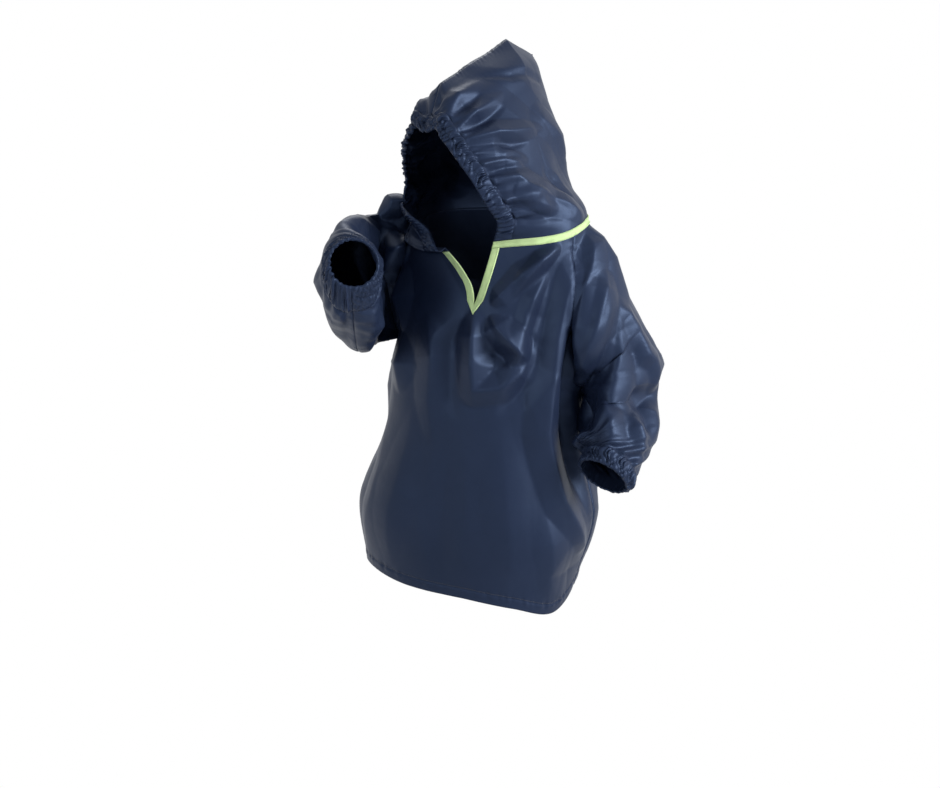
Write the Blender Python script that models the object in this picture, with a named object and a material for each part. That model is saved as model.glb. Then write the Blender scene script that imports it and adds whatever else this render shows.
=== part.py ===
"""A child's hooded rain smock as it hangs on a body, one closed solid for each cut piece of cloth.

+Z is up, -Y is the front, +X is the wearer's left. The origin lies between the shoulders, in the neckline.
Every panel is a grid of points on a smooth form worked out from a few sections. Folds push the points along
the cloth's normal, and a wall is put under each grid, mitred where two panels meet at a seam.
"""
import math
from collections import namedtuple

import bpy
import numpy as np
from mathutils.kdtree import KDTree

# ---------------------------------------------------------------- driving sizes, metres
WALL = 0.0012            # coated taffeta, drawn at a wall that can be handled
SEAM_GAP = 0.0003        # between two pieces that are sewn together
NECK_SEAM_RISE = 0.0002  # more, where the hood meets the body under the binding
BINDING_WIDTH = 0.010    # lime bias binding, as it shows
BINDING_WALL = 0.0012
CASING_WIDTH = 0.022     # elastic tunnel round the face
CASING_WALL = 0.0030
CUFF_WALL = 0.0028       # elastic tunnel at the wrist, some 20 mm wide
TRIM_LIFT = 0.0005       # from a panel to the trim on it
PUFFED = (0.45, 1.0, 0.45)   # a tunnel's thickness across its width, as shares of its wall

SAME_POINT = 0.00002     # panels' points this near are one point of a seam
MITRE_LIMIT = 1.8        # most that a wall is stretched to meet its neighbour in a mitre
CORNER_LIMIT = 0.5       # least divisor where a sharp corner of a panel is drawn back from its seams
TINY = 1e-9              # keeps a length of zero out of a division

RIGHT, LEFT = -1, 1      # the wearer's sides

Cloth = namedtuple("Cloth", "colour roughness")
NAVY = Cloth((0.020, 0.030, 0.075), 0.35)
LIME = Cloth((0.56, 0.78, 0.24), 0.60)

# ---------------------------------------------------------------- how finely each piece is cut up
FRONT_COLUMNS = 16       # even, the middle one carries the V slit
BACK_COLUMNS = 14
YOKE_ROWS = 9            # neckline to underarm
BODY_ROWS = 9            # underarm to hem
SLIT_ROWS = 4            # of the yoke rows, those that the V slit cuts
SLEEVE_COLUMNS = 14      # even, and the hood uses every second one along the neckline
ARM_ROWS = 13            # underarm to wrist
HOOD_ROWS = 13           # neckline to the top seam
YOKE_FIRST = 0.045       # share of the yoke at its first row below the neckline, clear of the binding
HOOD_FIRST = 0.040       # level of the hood's first row above the neckline, likewise
CASING_COLUMNS = 2       # of the hood, next to the face opening
CUFF_ROWS = 2            # of a sleeve, next to the wrist
CUFF_SHARE = 0.13        # of the sleeve's along, under the wrist's tunnel
HOOD_WALK = 200          # steps in which a level of the hood is measured
SLIT_POINT_STRETCH = 1.4   # how much further the binding reaches below the slit's point

# ---------------------------------------------------------------- the body of the smock
# A section for each level. down: 0 at the neckline, 1 at the hem. left, right, front and back: reach from
# the upright line x = 0, y = mid_y. square: 2 is an ellipse, more is squarer.
Body = namedtuple("Body", "down left right front back mid_y square")
BODY = (
    Body(0.00, 0.126, 0.110, 0.078, 0.066, 0.000, 2.2),
    Body(0.20, 0.134, 0.124, 0.102, 0.086, 0.000, 2.2),
    Body(0.42, 0.126, 0.132, 0.114, 0.098, 0.000, 2.3),
    Body(0.55, 0.123, 0.140, 0.118, 0.104, 0.000, 2.3),
    Body(0.66, 0.130, 0.154, 0.119, 0.106, -0.002, 2.4),
    Body(0.80, 0.142, 0.178, 0.118, 0.106, -0.006, 2.4),
    Body(1.00, 0.121, 0.168, 0.106, 0.100, -0.012, 2.3),
)

# Heights of the two ends of the body. angle: 0 in front, 90 at the wearer's left, in degrees.
Edge = namedtuple("Edge", "angle height")
NECKLINE = (
    Edge(-180, 0.022), Edge(-130, 0.016), Edge(-90, 0.004), Edge(-60, -0.006), Edge(-25, -0.013),
    Edge(0, -0.006), Edge(22, 0.000), Edge(55, 0.006), Edge(90, 0.019), Edge(135, 0.024), Edge(180, 0.022),
)
HEM = (
    Edge(-180, -0.446), Edge(-135, -0.442), Edge(-90, -0.449), Edge(-60, -0.447), Edge(-25, -0.457),
    Edge(0, -0.463), Edge(30, -0.474), Edge(62, -0.487), Edge(90, -0.466), Edge(135, -0.448),
    Edge(180, -0.446),
)

# The raglan seams run down the body from the neckline to the underarm. front and back: angle from the
# front, in degrees. The side seam goes on from the underarm at 90.
Raglan = namedtuple("Raglan", "share front back")
RAGLAN = (
    Raglan(0.00, 70, 114),
    Raglan(0.35, 66, 116),
    Raglan(0.70, 72, 108),
    Raglan(1.00, 90, 90),
)
UNDERARM_DOWN = {RIGHT: 0.34, LEFT: 0.43}     # the raised arm pulls its underarm up
SLIT_TOP_ANGLE = {RIGHT: -17.0, LEFT: 11.0}
SLIT_BOTTOM_ANGLE = 3.5
SLIT_BEND = {RIGHT: 2.2, LEFT: 0.85}           # above 1 the edge leans in, below 1 it leans out
SLEEVE_HEAD_ANGLE = 62.0    # how far round the sleeve its edges lie at the neckline
SLEEVE_NECK_BLEND = 0.7     # along the sleeve, over which it leaves the neckline's round
UNDERARM_BLEND = 0.3        # along the sleeve, over which it leaves the body at the underarm
COURSE_STEP = 0.04          # along the sleeve, to either side, from which its direction is taken

# ---------------------------------------------------------------- the sleeves
# A ring for each station. along: 0 at the neckline, 1 at the underarm, 2 at the wrist. The ring goes
# through its outer and inner points; front and back: its reach to either side of the line between them.
Ring = namedtuple("Ring", "along outer inner front back")
SLEEVE = {
    LEFT: (
        Ring(0.00, (0.124, 0.016, 0.018), (0.080, 0.005, -0.060), 0.040, 0.040),
        Ring(0.28, (0.145, 0.025, -0.016), (0.100, 0.005, -0.115), 0.052, 0.050),
        Ring(0.66, (0.169, 0.030, -0.060), (0.122, 0.002, -0.165), 0.054, 0.044),
        Ring(1.00, (0.192, 0.040, -0.110), (0.127, 0.000, -0.200), 0.052, 0.030),
        Ring(1.25, (0.209, 0.062, -0.163), (0.136, -0.028, -0.214), 0.046, 0.038),
        Ring(1.50, (0.213, 0.040, -0.212), (0.136, -0.050, -0.238), 0.036, 0.046),
        Ring(1.72, (0.226, 0.000, -0.256), (0.140, -0.074, -0.248), 0.036, 0.044),
        Ring(1.87, (0.215, -0.060, -0.294), (0.152, -0.067, -0.261), 0.033, 0.033),
        Ring(2.00, (0.207, -0.077, -0.306), (0.149, -0.083, -0.276), 0.031, 0.031),
    ),
    RIGHT: (
        Ring(0.00, (-0.108, 0.002, 0.006), (-0.080, 0.005, -0.060), 0.030, 0.040),
        Ring(0.28, (-0.130, -0.016, 0.020), (-0.114, 0.000, -0.100), 0.012, 0.046),
        Ring(0.66, (-0.148, -0.040, 0.020), (-0.126, -0.006, -0.135), 0.004, 0.047),
        Ring(1.00, (-0.152, -0.078, 0.021), (-0.130, 0.000, -0.150), 0.003, 0.043),
        Ring(1.30, (-0.146, -0.130, 0.026), (-0.140, -0.085, -0.146), 0.028, 0.037),
        Ring(1.60, (-0.129, -0.185, 0.025), (-0.121, -0.165, -0.130), 0.040, 0.036),
        Ring(1.85, (-0.108, -0.222, 0.024), (-0.098, -0.232, -0.070), 0.036, 0.034),
        Ring(2.00, (-0.093, -0.238, 0.022), (-0.088, -0.258, -0.031), 0.030, 0.028),
    ),
}

# ---------------------------------------------------------------- the hood
# The head looks down and to the wearer's right, so the hood has its own turned frame: aside is towards its
# left, ahead is where the face looks, up is +Z.
HOOD_TURN = math.radians(25)
HOOD_MIDDLE = np.array((-0.010, 0.000, 0.000))
# A section for each level. level: 0 at the neckline, 1 along the top seam. ahead: the foremost point of
# the closed section. behind: its centre seam at the back. opening: angle from ahead where the face opening
# cuts it.
Hood = namedtuple("Hood", "level half_width ahead behind front_up back_up opening")
HOOD = (
    Hood(0.00, 0.116, 0.066, -0.070, -0.008, 0.022, 40),
    Hood(0.14, 0.112, 0.084, -0.084, 0.020, 0.050, 51),
    Hood(0.30, 0.104, 0.114, -0.098, 0.044, 0.085, 54),
    Hood(0.48, 0.090, 0.132, -0.104, 0.074, 0.125, 52),
    Hood(0.65, 0.078, 0.130, -0.102, 0.098, 0.163, 42),
    Hood(0.80, 0.060, 0.124, -0.095, 0.114, 0.193, 34),
    Hood(0.92, 0.038, 0.116, -0.091, 0.130, 0.214, 25),
    Hood(1.00, 0.000, 0.106, -0.089, 0.142, 0.224, 0),
)
HOOD_SKEW = 0.17         # its left side is drawn forward by this share of the width, its right side back
# The top seam swells up behind the gathered casing and runs almost level to a blunt peak.
HOOD_SWELL = 0.044       # above the line from the forehead to the back corner
HOOD_SWELL_FROM = 0.15   # shares of the seam over which the swelling comes and goes
HOOD_SWELL_TO = 0.26
HOOD_SWELL_POWER = 4     # the higher, the nearer to the top seam the swelling stays
HOOD_STOPS = (0.0, 0.36, 0.64, 1.0)   # across the hood, where it meets the neckline's four stops
HOOD_NECK_BLEND = 0.38   # levels over which the neckline's round becomes the hood's own
# On the wearer's right the hood's lowest part rolls out and hangs over the neck seam, which has no binding
# there.
ROLL_OUT = 0.010         # how far it stands out
ROLL_DOWN = 0.012        # how far it sags
ROLL_TOP = 0.26          # level at which it ends
ROLL_ACROSS = (0.26, 0.42)   # it fades out between these two places across the hood
ROLL_SAG_ACROSS = (0.24, 0.35)   # and sags less and less between these two
ROLL_LOW = 0.5            # power that brings its fullest place down to the seam
ROLL_ROUND = 0.7          # power that makes it round, not pointed

# ---------------------------------------------------------------- the largest folds
# A fold is a ridge (+) or a trough (-) along a line on one panel. across and along give its two ends in the
# panel's own terms: degrees from the front and down for the body, degrees from the sleeve's outer line and
# along for a sleeve, 0 to 1 from face to centre seam and level for the hood. The height changes from start
# to end. bow: how far the line's middle leans to its side, as a share of its length.
Fold = namedtuple("Fold", "panel across_0 along_0 across_1 along_1 height_0 height_1 reach bow")
FOLDS = (
    # the front: a ridge from the left shoulder down to the side seam, the hollow beside it under the arm
    Fold("body", 62, 0.10, 52, 0.46, 0.008, 0.012, 0.026, 0.00),
    Fold("body", 52, 0.46, 80, 0.81, 0.012, 0.010, 0.026, 0.14),
    Fold("body", 64, 0.24, 68, 0.56, -0.008, -0.014, 0.020, 0.06),
    Fold("body", 85, 0.58, 84, 0.76, 0.006, 0.006, 0.018, 0.00),
    # pulls across the chest, up to the left shoulder and under the slit
    Fold("body", 24, 0.12, 54, 0.04, 0.005, 0.005, 0.018, -0.06),
    Fold("body", 5, 0.20, 8, 0.40, 0.009, 0.006, 0.022, 0.18),
    Fold("body", 12, 0.23, 27, 0.28, -0.009, -0.006, 0.024, 0.00),
    Fold("body", 34, 0.35, 10, 0.39, 0.006, 0.006, 0.020, 0.06),
    Fold("body", -48, 0.18, -40, 0.46, 0.011, 0.004, 0.024, 0.10),
    Fold("body", -66, 0.20, -60, 0.54, -0.012, -0.006, 0.026, 0.08),
    # the back hangs in a few long, soft flutes
    Fold("body", 150, 0.30, 146, 0.96, 0.008, 0.010, 0.034, 0.05),
    Fold("body", 176, 0.24, 172, 0.90, -0.008, -0.006, 0.034, -0.05),
    Fold("body", -152, 0.28, -150, 0.96, 0.008, 0.008, 0.034, 0.06),
    Fold("body", 120, 0.50, 112, 0.96, -0.006, -0.008, 0.030, 0.00),
    Fold("body", -118, 0.36, -116, 0.94, 0.006, 0.009, 0.034, 0.00),
    Fold("body", 104, 0.20, 150, 0.34, 0.007, 0.004, 0.024, 0.06),
    Fold("body", -106, 0.14, -150, 0.30, 0.007, 0.004, 0.024, -0.06),
    # left sleeve: long pulls from the shoulder to the armpit and the elbow, and the bag over the cuff
    Fold("sleeve_left", 0.38, 0.14, 0.88, 0.60, 0.003, 0.010, 0.018, -0.10),
    Fold("sleeve_left", 0.24, 0.66, 0.86, 0.96, 0.003, 0.011, 0.020, -0.06),
    Fold("sleeve_left", 0.30, 1.06, 0.69, 1.31, 0.009, 0.009, 0.024, -0.08),
    Fold("sleeve_left", 0.69, 1.31, 0.60, 1.74, 0.009, 0.007, 0.024, 0.10),
    Fold("sleeve_left", 0.30, 1.48, 0.42, 1.68, -0.009, -0.007, 0.022, 0.00),
    Fold("sleeve_left", 0.52, 1.70, 0.30, 1.78, 0.006, 0.006, 0.018, 0.00),
    Fold("sleeve_left", 0.84, 1.28, 0.72, 1.72, -0.010, -0.008, 0.020, 0.00),
    Fold("sleeve_left", -0.30, 0.60, -0.45, 1.60, 0.008, 0.006, 0.024, 0.10),
    Fold("sleeve_left", -0.62, 0.95, -0.70, 1.55, -0.008, -0.005, 0.022, 0.00),
    # right sleeve: a sharp point stands up on the shoulder, and the bag under the forearm hangs in facets
    Fold("sleeve_right", 0.00, 0.42, 0.04, 0.28, 0.021, 0.016, 0.012, 0.00),
    Fold("sleeve_right", 0.04, 0.28, 0.15, 0.15, 0.016, 0.014, 0.015, 0.00),
    Fold("sleeve_right", -0.14, 1.66, 0.24, 0.90, 0.005, 0.008, 0.020, 0.00),
    Fold("sleeve_right", 0.24, 0.90, 0.66, 0.40, 0.008, 0.008, 0.020, 0.00),
    Fold("sleeve_right", 0.72, 1.84, 0.80, 1.50, 0.009, 0.006, 0.022, 0.00),
    Fold("sleeve_right", 0.52, 1.72, 0.50, 1.30, -0.007, -0.006, 0.020, 0.00),
    Fold("sleeve_right", -0.34, 0.80, -0.46, 1.70, 0.007, 0.008, 0.024, 0.06),
    Fold("sleeve_right", -0.70, 1.10, -0.74, 1.75, -0.007, -0.006, 0.022, 0.00),
    # hood: pleats let out of the casing, and long pulls to the neckline
    Fold("hood_left", 0.10, 0.90, 0.34, 0.94, 0.006, 0.003, 0.016, 0.05),
    Fold("hood_left", 0.14, 0.79, 0.34, 0.85, 0.007, 0.003, 0.016, 0.05),
    Fold("hood_left", 0.14, 0.70, 0.42, 0.61, 0.007, 0.005, 0.018, -0.10),
    Fold("hood_left", 0.14, 0.55, 0.34, 0.50, 0.006, 0.003, 0.016, 0.05),
    Fold("hood_left", 0.22, 0.45, 0.42, 0.07, 0.007, 0.007, 0.020, -0.04),
    Fold("hood_left", 0.14, 0.31, 0.32, 0.17, 0.006, 0.005, 0.018, 0.05),
    Fold("hood_left", 0.55, 0.62, 0.72, 0.20, 0.006, 0.005, 0.024, 0.08),
    Fold("hood_right", 0.00, 0.28, 0.04, 0.16, 0.012, 0.014, 0.022, 0.00),
    Fold("hood_right", 0.12, 0.86, 0.42, 0.80, 0.007, 0.003, 0.015, 0.05),
    Fold("hood_right", 0.13, 0.68, 0.40, 0.60, 0.007, 0.003, 0.014, 0.05),
    Fold("hood_right", 0.24, 0.40, 0.62, 0.18, 0.007, 0.006, 0.022, 0.08),
    Fold("hood_right", 0.55, 0.60, 0.70, 0.22, 0.006, 0.005, 0.024, -0.08),
)
FOLD_STEPS = 7           # points that a fold's line is followed through
FOLD_ROUND = 0.18        # share of the reach over which a fold's edge is rounded
FOLD_HOLLOW = 1.5        # above 1 the flanks of a fold are hollow
BODY_DEGREES = 100.0     # degrees round the body that are about as long as one down


def table_curve(table, key, column, where):
    """Value of a column at any key, on a smooth curve through the table's rows."""
    keys = np.array([getattr(row, key) for row in table], float)
    values = np.array([getattr(row, column) for row in table], float)
    where = np.asarray(where, float)
    flat = values.reshape(len(keys), -1)
    steps = np.diff(keys)[:, None]
    slopes = np.diff(flat, axis=0) / steps
    tangents = np.vstack([slopes[:1], (slopes[1:] * steps[:-1] + slopes[:-1] * steps[1:])
                          / (steps[1:] + steps[:-1]), slopes[-1:]])
    spot = np.clip(np.searchsorted(keys, where.ravel(), side="right") - 1, 0, len(keys) - 2)
    span = steps[spot]
    share = ((where.ravel() - keys[spot])[:, None] / span)
    square, cube = share ** 2, share ** 3
    result = ((2 * cube - 3 * square + 1) * flat[spot] + (cube - 2 * square + share) * span * tangents[spot]
              + (3 * square - 2 * cube) * flat[spot + 1] + (cube - square) * span * tangents[spot + 1])
    return result.reshape(where.shape + values.shape[1:])


def ease(share):
    """0 to 1 with level ends."""
    share = np.clip(share, 0, 1)
    return share * share * (3 - 2 * share)


def signed_power(value, power):
    return np.sign(value) * np.abs(value) ** power


# ---------------------------------------------------------------- forms
def body_point(angle, down):
    """A point of the body's form: angle in degrees from the front, down 0 to 1."""
    angle, down = np.broadcast_arrays(np.asarray(angle, float), np.asarray(down, float))
    size = {name: table_curve(BODY, "down", name, down) for name in Body._fields[1:]}
    turn = np.radians(angle)
    power = 2.0 / size["square"]
    reach = np.where(np.cos(turn) > 0, size["front"], size["back"])
    x = np.where(np.sin(turn) > 0, size["left"], size["right"]) * signed_power(np.sin(turn), power)
    y = size["mid_y"] - reach * signed_power(np.cos(turn), power)
    top = table_curve(NECKLINE, "angle", "height", angle)
    bottom = table_curve(HEM, "angle", "height", angle)
    return np.stack([x, y, top + (bottom - top) * down], -1)


def raglan_point(side, face, share):
    """A point of a raglan seam: face is "front" or "back", share 0 at the neckline and 1 at the underarm."""
    angle = side * table_curve(RAGLAN, "share", face, share)
    return body_point(angle, UNDERARM_DOWN[side] * np.asarray(share, float))


def sleeve_middle(table, along):
    along = np.clip(along, 0, 2)
    return (table_curve(table, "along", "outer", along) + table_curve(table, "along", "inner", along)) / 2


def sleeve_ring(side, angle, along):
    """A point of a sleeve's rings: angle in degrees from the outer line, + to the front."""
    angle, along = np.broadcast_arrays(np.asarray(angle, float), np.asarray(along, float))
    table = SLEEVE[side]
    outer = table_curve(table, "along", "outer", along)
    inner = table_curve(table, "along", "inner", along)
    course = sleeve_middle(table, along + COURSE_STEP) - sleeve_middle(table, along - COURSE_STEP)
    across = outer - inner
    forward = np.cross(course, across) * side
    forward /= np.linalg.norm(forward, axis=-1, keepdims=True)
    turn = np.radians(angle)[..., None]
    reach = np.where(angle > 0, table_curve(table, "along", "front", along),
                     table_curve(table, "along", "back", along))[..., None]
    return (outer + inner) / 2 + across / 2 * np.cos(turn) + forward * reach * np.sin(turn)


def sleeve_drawn(side, across, along):
    """The sleeve's rings, open down to the underarm with their edges drawn onto the raglan seams."""
    share = np.clip(along, 0, 1)
    widest = SLEEVE_HEAD_ANGLE + (180 - SLEEVE_HEAD_ANGLE) * ease(share)
    ring = sleeve_ring(side, across * widest, along)
    miss_front = raglan_point(side, "front", share) - sleeve_ring(side, widest, share)
    miss_back = raglan_point(side, "back", share) - sleeve_ring(side, -widest, share)
    fade = ease(1 - (along - 1) / UNDERARM_BLEND)[..., None]
    return ring + fade * (ease(across)[..., None] * miss_front + ease(-across)[..., None] * miss_back)


def sleeve_point(side, across, along):
    """A point of a sleeve: across -1 at its back edge, 1 at its front edge; along as in the table.

    It starts on the neckline, its edges run down the raglan seams, and from there they meet under the arm.
    """
    across, along = np.broadcast_arrays(np.asarray(across, float), np.asarray(along, float))
    stops = neck_stops(side)
    neck = body_point((stops[1] + stops[2]) / 2 + (stops[1] - stops[2]) / 2 * across, 0.0)
    miss_neck = neck - sleeve_drawn(side, across, np.zeros_like(along))
    return sleeve_drawn(side, across, along) + ease(1 - along / SLEEVE_NECK_BLEND)[..., None] * miss_neck


def hood_form(side, across, level):
    """A point of the hood alone: across 0 at the face opening, 1 at the centre seam."""
    size = {name: table_curve(HOOD, "level", name, level) for name in Hood._fields[1:]}
    turn = np.radians(size["opening"] + (180 - size["opening"]) * across)
    middle = (size["ahead"] + size["behind"]) / 2
    reach = (size["ahead"] - size["behind"]) / 2
    aside = side * size["half_width"] * np.sin(turn)
    ahead = middle + reach * np.cos(turn) + HOOD_SKEW * aside
    passed = (1 - np.cos(turn)) / 2
    up = size["front_up"] + (size["back_up"] - size["front_up"]) * passed
    swell = ease(passed / HOOD_SWELL_FROM) * np.minimum((1 - passed) / HOOD_SWELL_TO, 1)
    up = up + HOOD_SWELL * level ** HOOD_SWELL_POWER * swell
    cos, sin = math.cos(HOOD_TURN), math.sin(HOOD_TURN)
    return HOOD_MIDDLE + np.stack([aside * cos - ahead * sin, -aside * sin - ahead * cos, up], -1)


def hood_point(side, across, level):
    """A point of the hood sewn on: its lowest part is drawn over to the neckline."""
    across, level = np.broadcast_arrays(np.asarray(across, float), np.asarray(level, float))
    drawn = neck_seam_point(side, across) - hood_form(side, across, np.zeros_like(level))
    points = hood_form(side, across, level) + drawn * ease(1 - level / HOOD_NECK_BLEND)[..., None]
    return points if side == LEFT else points + hood_roll(across, level)


def hood_roll(across, level):
    """How far the roll over the right of the neck seam moves a point of the hood."""
    seam = neck_seam_point(RIGHT, across) - HOOD_MIDDLE
    outward = seam * (1, 1, 0) / np.linalg.norm(seam[..., :2], axis=-1, keepdims=True)
    place = np.clip(level / ROLL_TOP, 0, 1)
    swell = np.sin(math.pi * place ** ROLL_LOW)
    out = ROLL_OUT * np.maximum(swell, 0) ** ROLL_ROUND
    sag = ROLL_DOWN * swell
    out = out * ease((ROLL_ACROSS[1] - across) / (ROLL_ACROSS[1] - ROLL_ACROSS[0]))
    sag = sag * ease((ROLL_SAG_ACROSS[1] - across) / (ROLL_SAG_ACROSS[1] - ROLL_SAG_ACROSS[0]))
    return outward * out[..., None] - np.array((0.0, 0.0, 1.0)) * sag[..., None]


def neck_stops(side):
    """Angles on the neckline of the V slit, the two raglan seams and the centre of the back."""
    front, back = (float(table_curve(RAGLAN, "share", face, 0.0)) for face in ("front", "back"))
    return SLIT_TOP_ANGLE[side], side * front, side * back, side * 180.0


def neck_seam_point(side, across):
    """A point of the seam of hood and body: across 0 at the V slit, 1 at the centre of the back."""
    return body_point(np.interp(across, HOOD_STOPS, neck_stops(side)), 0.0)


# ---------------------------------------------------------------- grids
Panel = namedtuple("Panel", "name points faces")


def grid_faces(rows, columns, flip=False):
    """Quads of a grid numbered row by row, as arrays of four corners."""
    index = np.arange(rows * columns).reshape(rows, columns)
    quads = np.stack([index[:-1, :-1], index[1:, :-1], index[1:, 1:], index[:-1, 1:]], -1).reshape(-1, 4)
    return quads[:, ::-1] if flip else quads


def yoke_shares():
    """Rows from the neckline to the underarm: the first one lies just below the binding."""
    return np.concatenate([[0.0], np.linspace(YOKE_FIRST, 1, YOKE_ROWS)])


def row_downs(side):
    """down of each row of the body at one side seam or raglan seam."""
    body = np.linspace(UNDERARM_DOWN[side], 1, BODY_ROWS + 1)[1:]
    return np.concatenate([UNDERARM_DOWN[side] * yoke_shares(), body])


def edge_angles(side, face):
    """Angle of the raglan and side seam at each row, on the front or on the back."""
    raglan = table_curve(RAGLAN, "share", face, yoke_shares())
    return side * np.concatenate([raglan, np.full(BODY_ROWS, 90.0)])


def front_half(side):
    """Angle and down of the front's grid from the middle column to one edge."""
    rows = YOKE_ROWS + BODY_ROWS + 1
    opening = np.clip(1 - row_downs(side) / row_downs(side)[SLIT_ROWS], 0, 1) ** SLIT_BEND[side]
    middle = SLIT_BOTTOM_ANGLE + (SLIT_TOP_ANGLE[side] - SLIT_BOTTOM_ANGLE) * opening
    share = np.linspace(0, 1, FRONT_COLUMNS // 2 + 1)[None, :]
    angle = middle[:, None] * (1 - share) + edge_angles(side, "front")[:, None] * share
    middle_down = (row_downs(LEFT) + row_downs(RIGHT))[:, None] / 2
    down = middle_down * (1 - share) + row_downs(side)[:, None] * share
    return angle, down


def front_panel():
    """Two halves that share their middle column below the slit."""
    rows, half = YOKE_ROWS + BODY_ROWS + 1, FRONT_COLUMNS // 2 + 1
    left = body_point(*front_half(LEFT))
    right = body_point(*front_half(RIGHT))
    points = np.concatenate([left.reshape(-1, 3), right.reshape(-1, 3)])
    faces = np.concatenate([grid_faces(rows, half), grid_faces(rows, half, flip=True) + rows * half])
    shared = np.arange(SLIT_ROWS, rows) * half
    renamed = np.arange(len(points))
    renamed[shared + rows * half] = shared
    return Panel("front_panel", points, renamed[faces])


def back_panel():
    share = np.linspace(0, 1, BACK_COLUMNS + 1)[None, :]
    left = edge_angles(LEFT, "back")[:, None]
    right = edge_angles(RIGHT, "back")[:, None] + 360
    angle = left * (1 - share) + right * share
    down = row_downs(LEFT)[:, None] * (1 - share) + row_downs(RIGHT)[:, None] * share
    angle = np.where(angle > 180, angle - 360, angle)
    points = body_point(angle, down)
    return Panel("back_panel", points.reshape(-1, 3), grid_faces(*points.shape[:2]))


def sleeve(side):
    """Rows from the neckline to the wrist, columns from the back edge to the front edge."""
    across = np.linspace(-1, 1, SLEEVE_COLUMNS + 1)[None, :]
    arm = np.linspace(1, 2 - CUFF_SHARE, ARM_ROWS - CUFF_ROWS + 1)[1:]
    cuff = np.linspace(2 - CUFF_SHARE, 2, CUFF_ROWS + 1)[1:]
    along = np.concatenate([yoke_shares(), arm, cuff])[:, None]
    points = sleeve_point(side, across, along)
    points[0] = neck_points(side)[FRONT_COLUMNS // 2:FRONT_COLUMNS // 2 + SLEEVE_COLUMNS + 1][::-1]
    name = {RIGHT: "sleeve_right", LEFT: "sleeve_left"}[side]
    return Panel(name, points.reshape(-1, 3), grid_faces(*points.shape[:2], flip=side == LEFT))


def neck_points(side):
    """Points along half the neckline, from the V slit to the centre of the back.

    Over the sleeve every second point lies midway between its neighbours, where the hood has none.
    """
    counts = (FRONT_COLUMNS // 2, SLEEVE_COLUMNS, BACK_COLUMNS // 2)
    stops = neck_stops(side)
    runs = [np.linspace(a, b, n + 1)[:-1] for a, b, n in zip(stops[:-1], stops[1:], counts)]
    points = body_point(np.concatenate(runs + [[stops[-1]]]), 0.0)
    middle = np.arange(counts[0] + 1, counts[0] + counts[1], 2)
    points[middle] = (points[middle - 1] + points[middle + 1]) / 2
    return points


def hood_half(side):
    """Rows from the neckline up; the first columns lie under the casing, at its width."""
    counts = (FRONT_COLUMNS // 2, SLEEVE_COLUMNS // 2, BACK_COLUMNS // 2)
    runs = [np.linspace(a, b, n + 1)[:-1] for a, b, n in zip(HOOD_STOPS[:-1], HOOD_STOPS[1:], counts)]
    across = np.concatenate(runs + [[1.0]])
    level = np.concatenate([[0.0], np.linspace(HOOD_FIRST, 1, HOOD_ROWS)])
    points = hood_point(side, across[None, :], level[:, None])
    fine = np.linspace(0, 1, HOOD_WALK)
    last = CASING_COLUMNS
    for row in range(1, len(level)):
        line = hood_point(side, fine, level[row])
        run = np.concatenate([[0], np.cumsum(np.linalg.norm(np.diff(line, axis=0), axis=1))])
        under = np.interp(np.linspace(0, CASING_WIDTH, last + 1), run, fine)
        rest = under[-1] + (1 - under[-1]) * (across[last + 1:] - across[last]) / (1 - across[last])
        points[row] = hood_point(side, np.concatenate([under, rest]), level[row])
    name = {RIGHT: "hood_right", LEFT: "hood_left"}[side]
    return Panel(name, points.reshape(-1, 3), grid_faces(*points.shape[:2], flip=side == LEFT))


# ---------------------------------------------------------------- folds
PANEL_POINT = {
    "body": lambda across, along: body_point(across, along),
    "sleeve_left": lambda across, along: sleeve_point(LEFT, across, along),
    "sleeve_right": lambda across, along: sleeve_point(RIGHT, across, along),
    "hood_left": lambda across, along: hood_point(LEFT, across, along),
    "hood_right": lambda across, along: hood_point(RIGHT, across, along),
}


def fold_line(fold):
    """Points along a fold, on the panel's plain form."""
    share = np.linspace(0, 1, FOLD_STEPS)
    run_across = fold.across_1 - fold.across_0
    run_along = fold.along_1 - fold.along_0
    lean = fold.bow * 4 * share * (1 - share)
    scale = BODY_DEGREES if fold.panel == "body" else 1.0
    across = fold.across_0 + run_across * share - lean * run_along * scale
    along = fold.along_0 + run_along * share + lean * run_across / scale
    return PANEL_POINT[fold.panel](across, along)


def fold_height(fold, points):
    """Height of one fold at each point: a rounded ridge with hollow flanks along the fold's line."""
    line = fold_line(fold)
    nearest = np.full(len(points), np.inf)
    place = np.zeros(len(points))
    for step in range(FOLD_STEPS - 1):
        start, run = line[step], line[step + 1] - line[step]
        share = np.clip((points - start) @ run / (run @ run), 0, 1)
        away = np.linalg.norm(points - start - share[:, None] * run, axis=1)
        closer = away < nearest
        nearest = np.where(closer, away, nearest)
        place = np.where(closer, (step + share) / (FOLD_STEPS - 1), place)
    rounded = np.hypot(nearest / fold.reach, FOLD_ROUND) - FOLD_ROUND
    profile = np.clip(1 - rounded / (math.hypot(1, FOLD_ROUND) - FOLD_ROUND), 0, 1) ** FOLD_HOLLOW
    return (fold.height_0 + (fold.height_1 - fold.height_0) * place) * profile


def folds_height(points):
    return sum(fold_height(fold, points) for fold in FOLDS)


# ---------------------------------------------------------------- from grids to closed solids
def triangles_of(points, faces):
    """Split each quad along its shorter diagonal."""
    a, b, c, d = (points[faces[:, k]] for k in range(4))
    short_ac = np.linalg.norm(a - c, axis=1) <= np.linalg.norm(b - d, axis=1)
    first = np.where(short_ac[:, None], faces[:, [0, 1, 2]], faces[:, [0, 1, 3]])
    second = np.where(short_ac[:, None], faces[:, [0, 2, 3]], faces[:, [1, 2, 3]])
    return np.concatenate([first, second])


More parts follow.
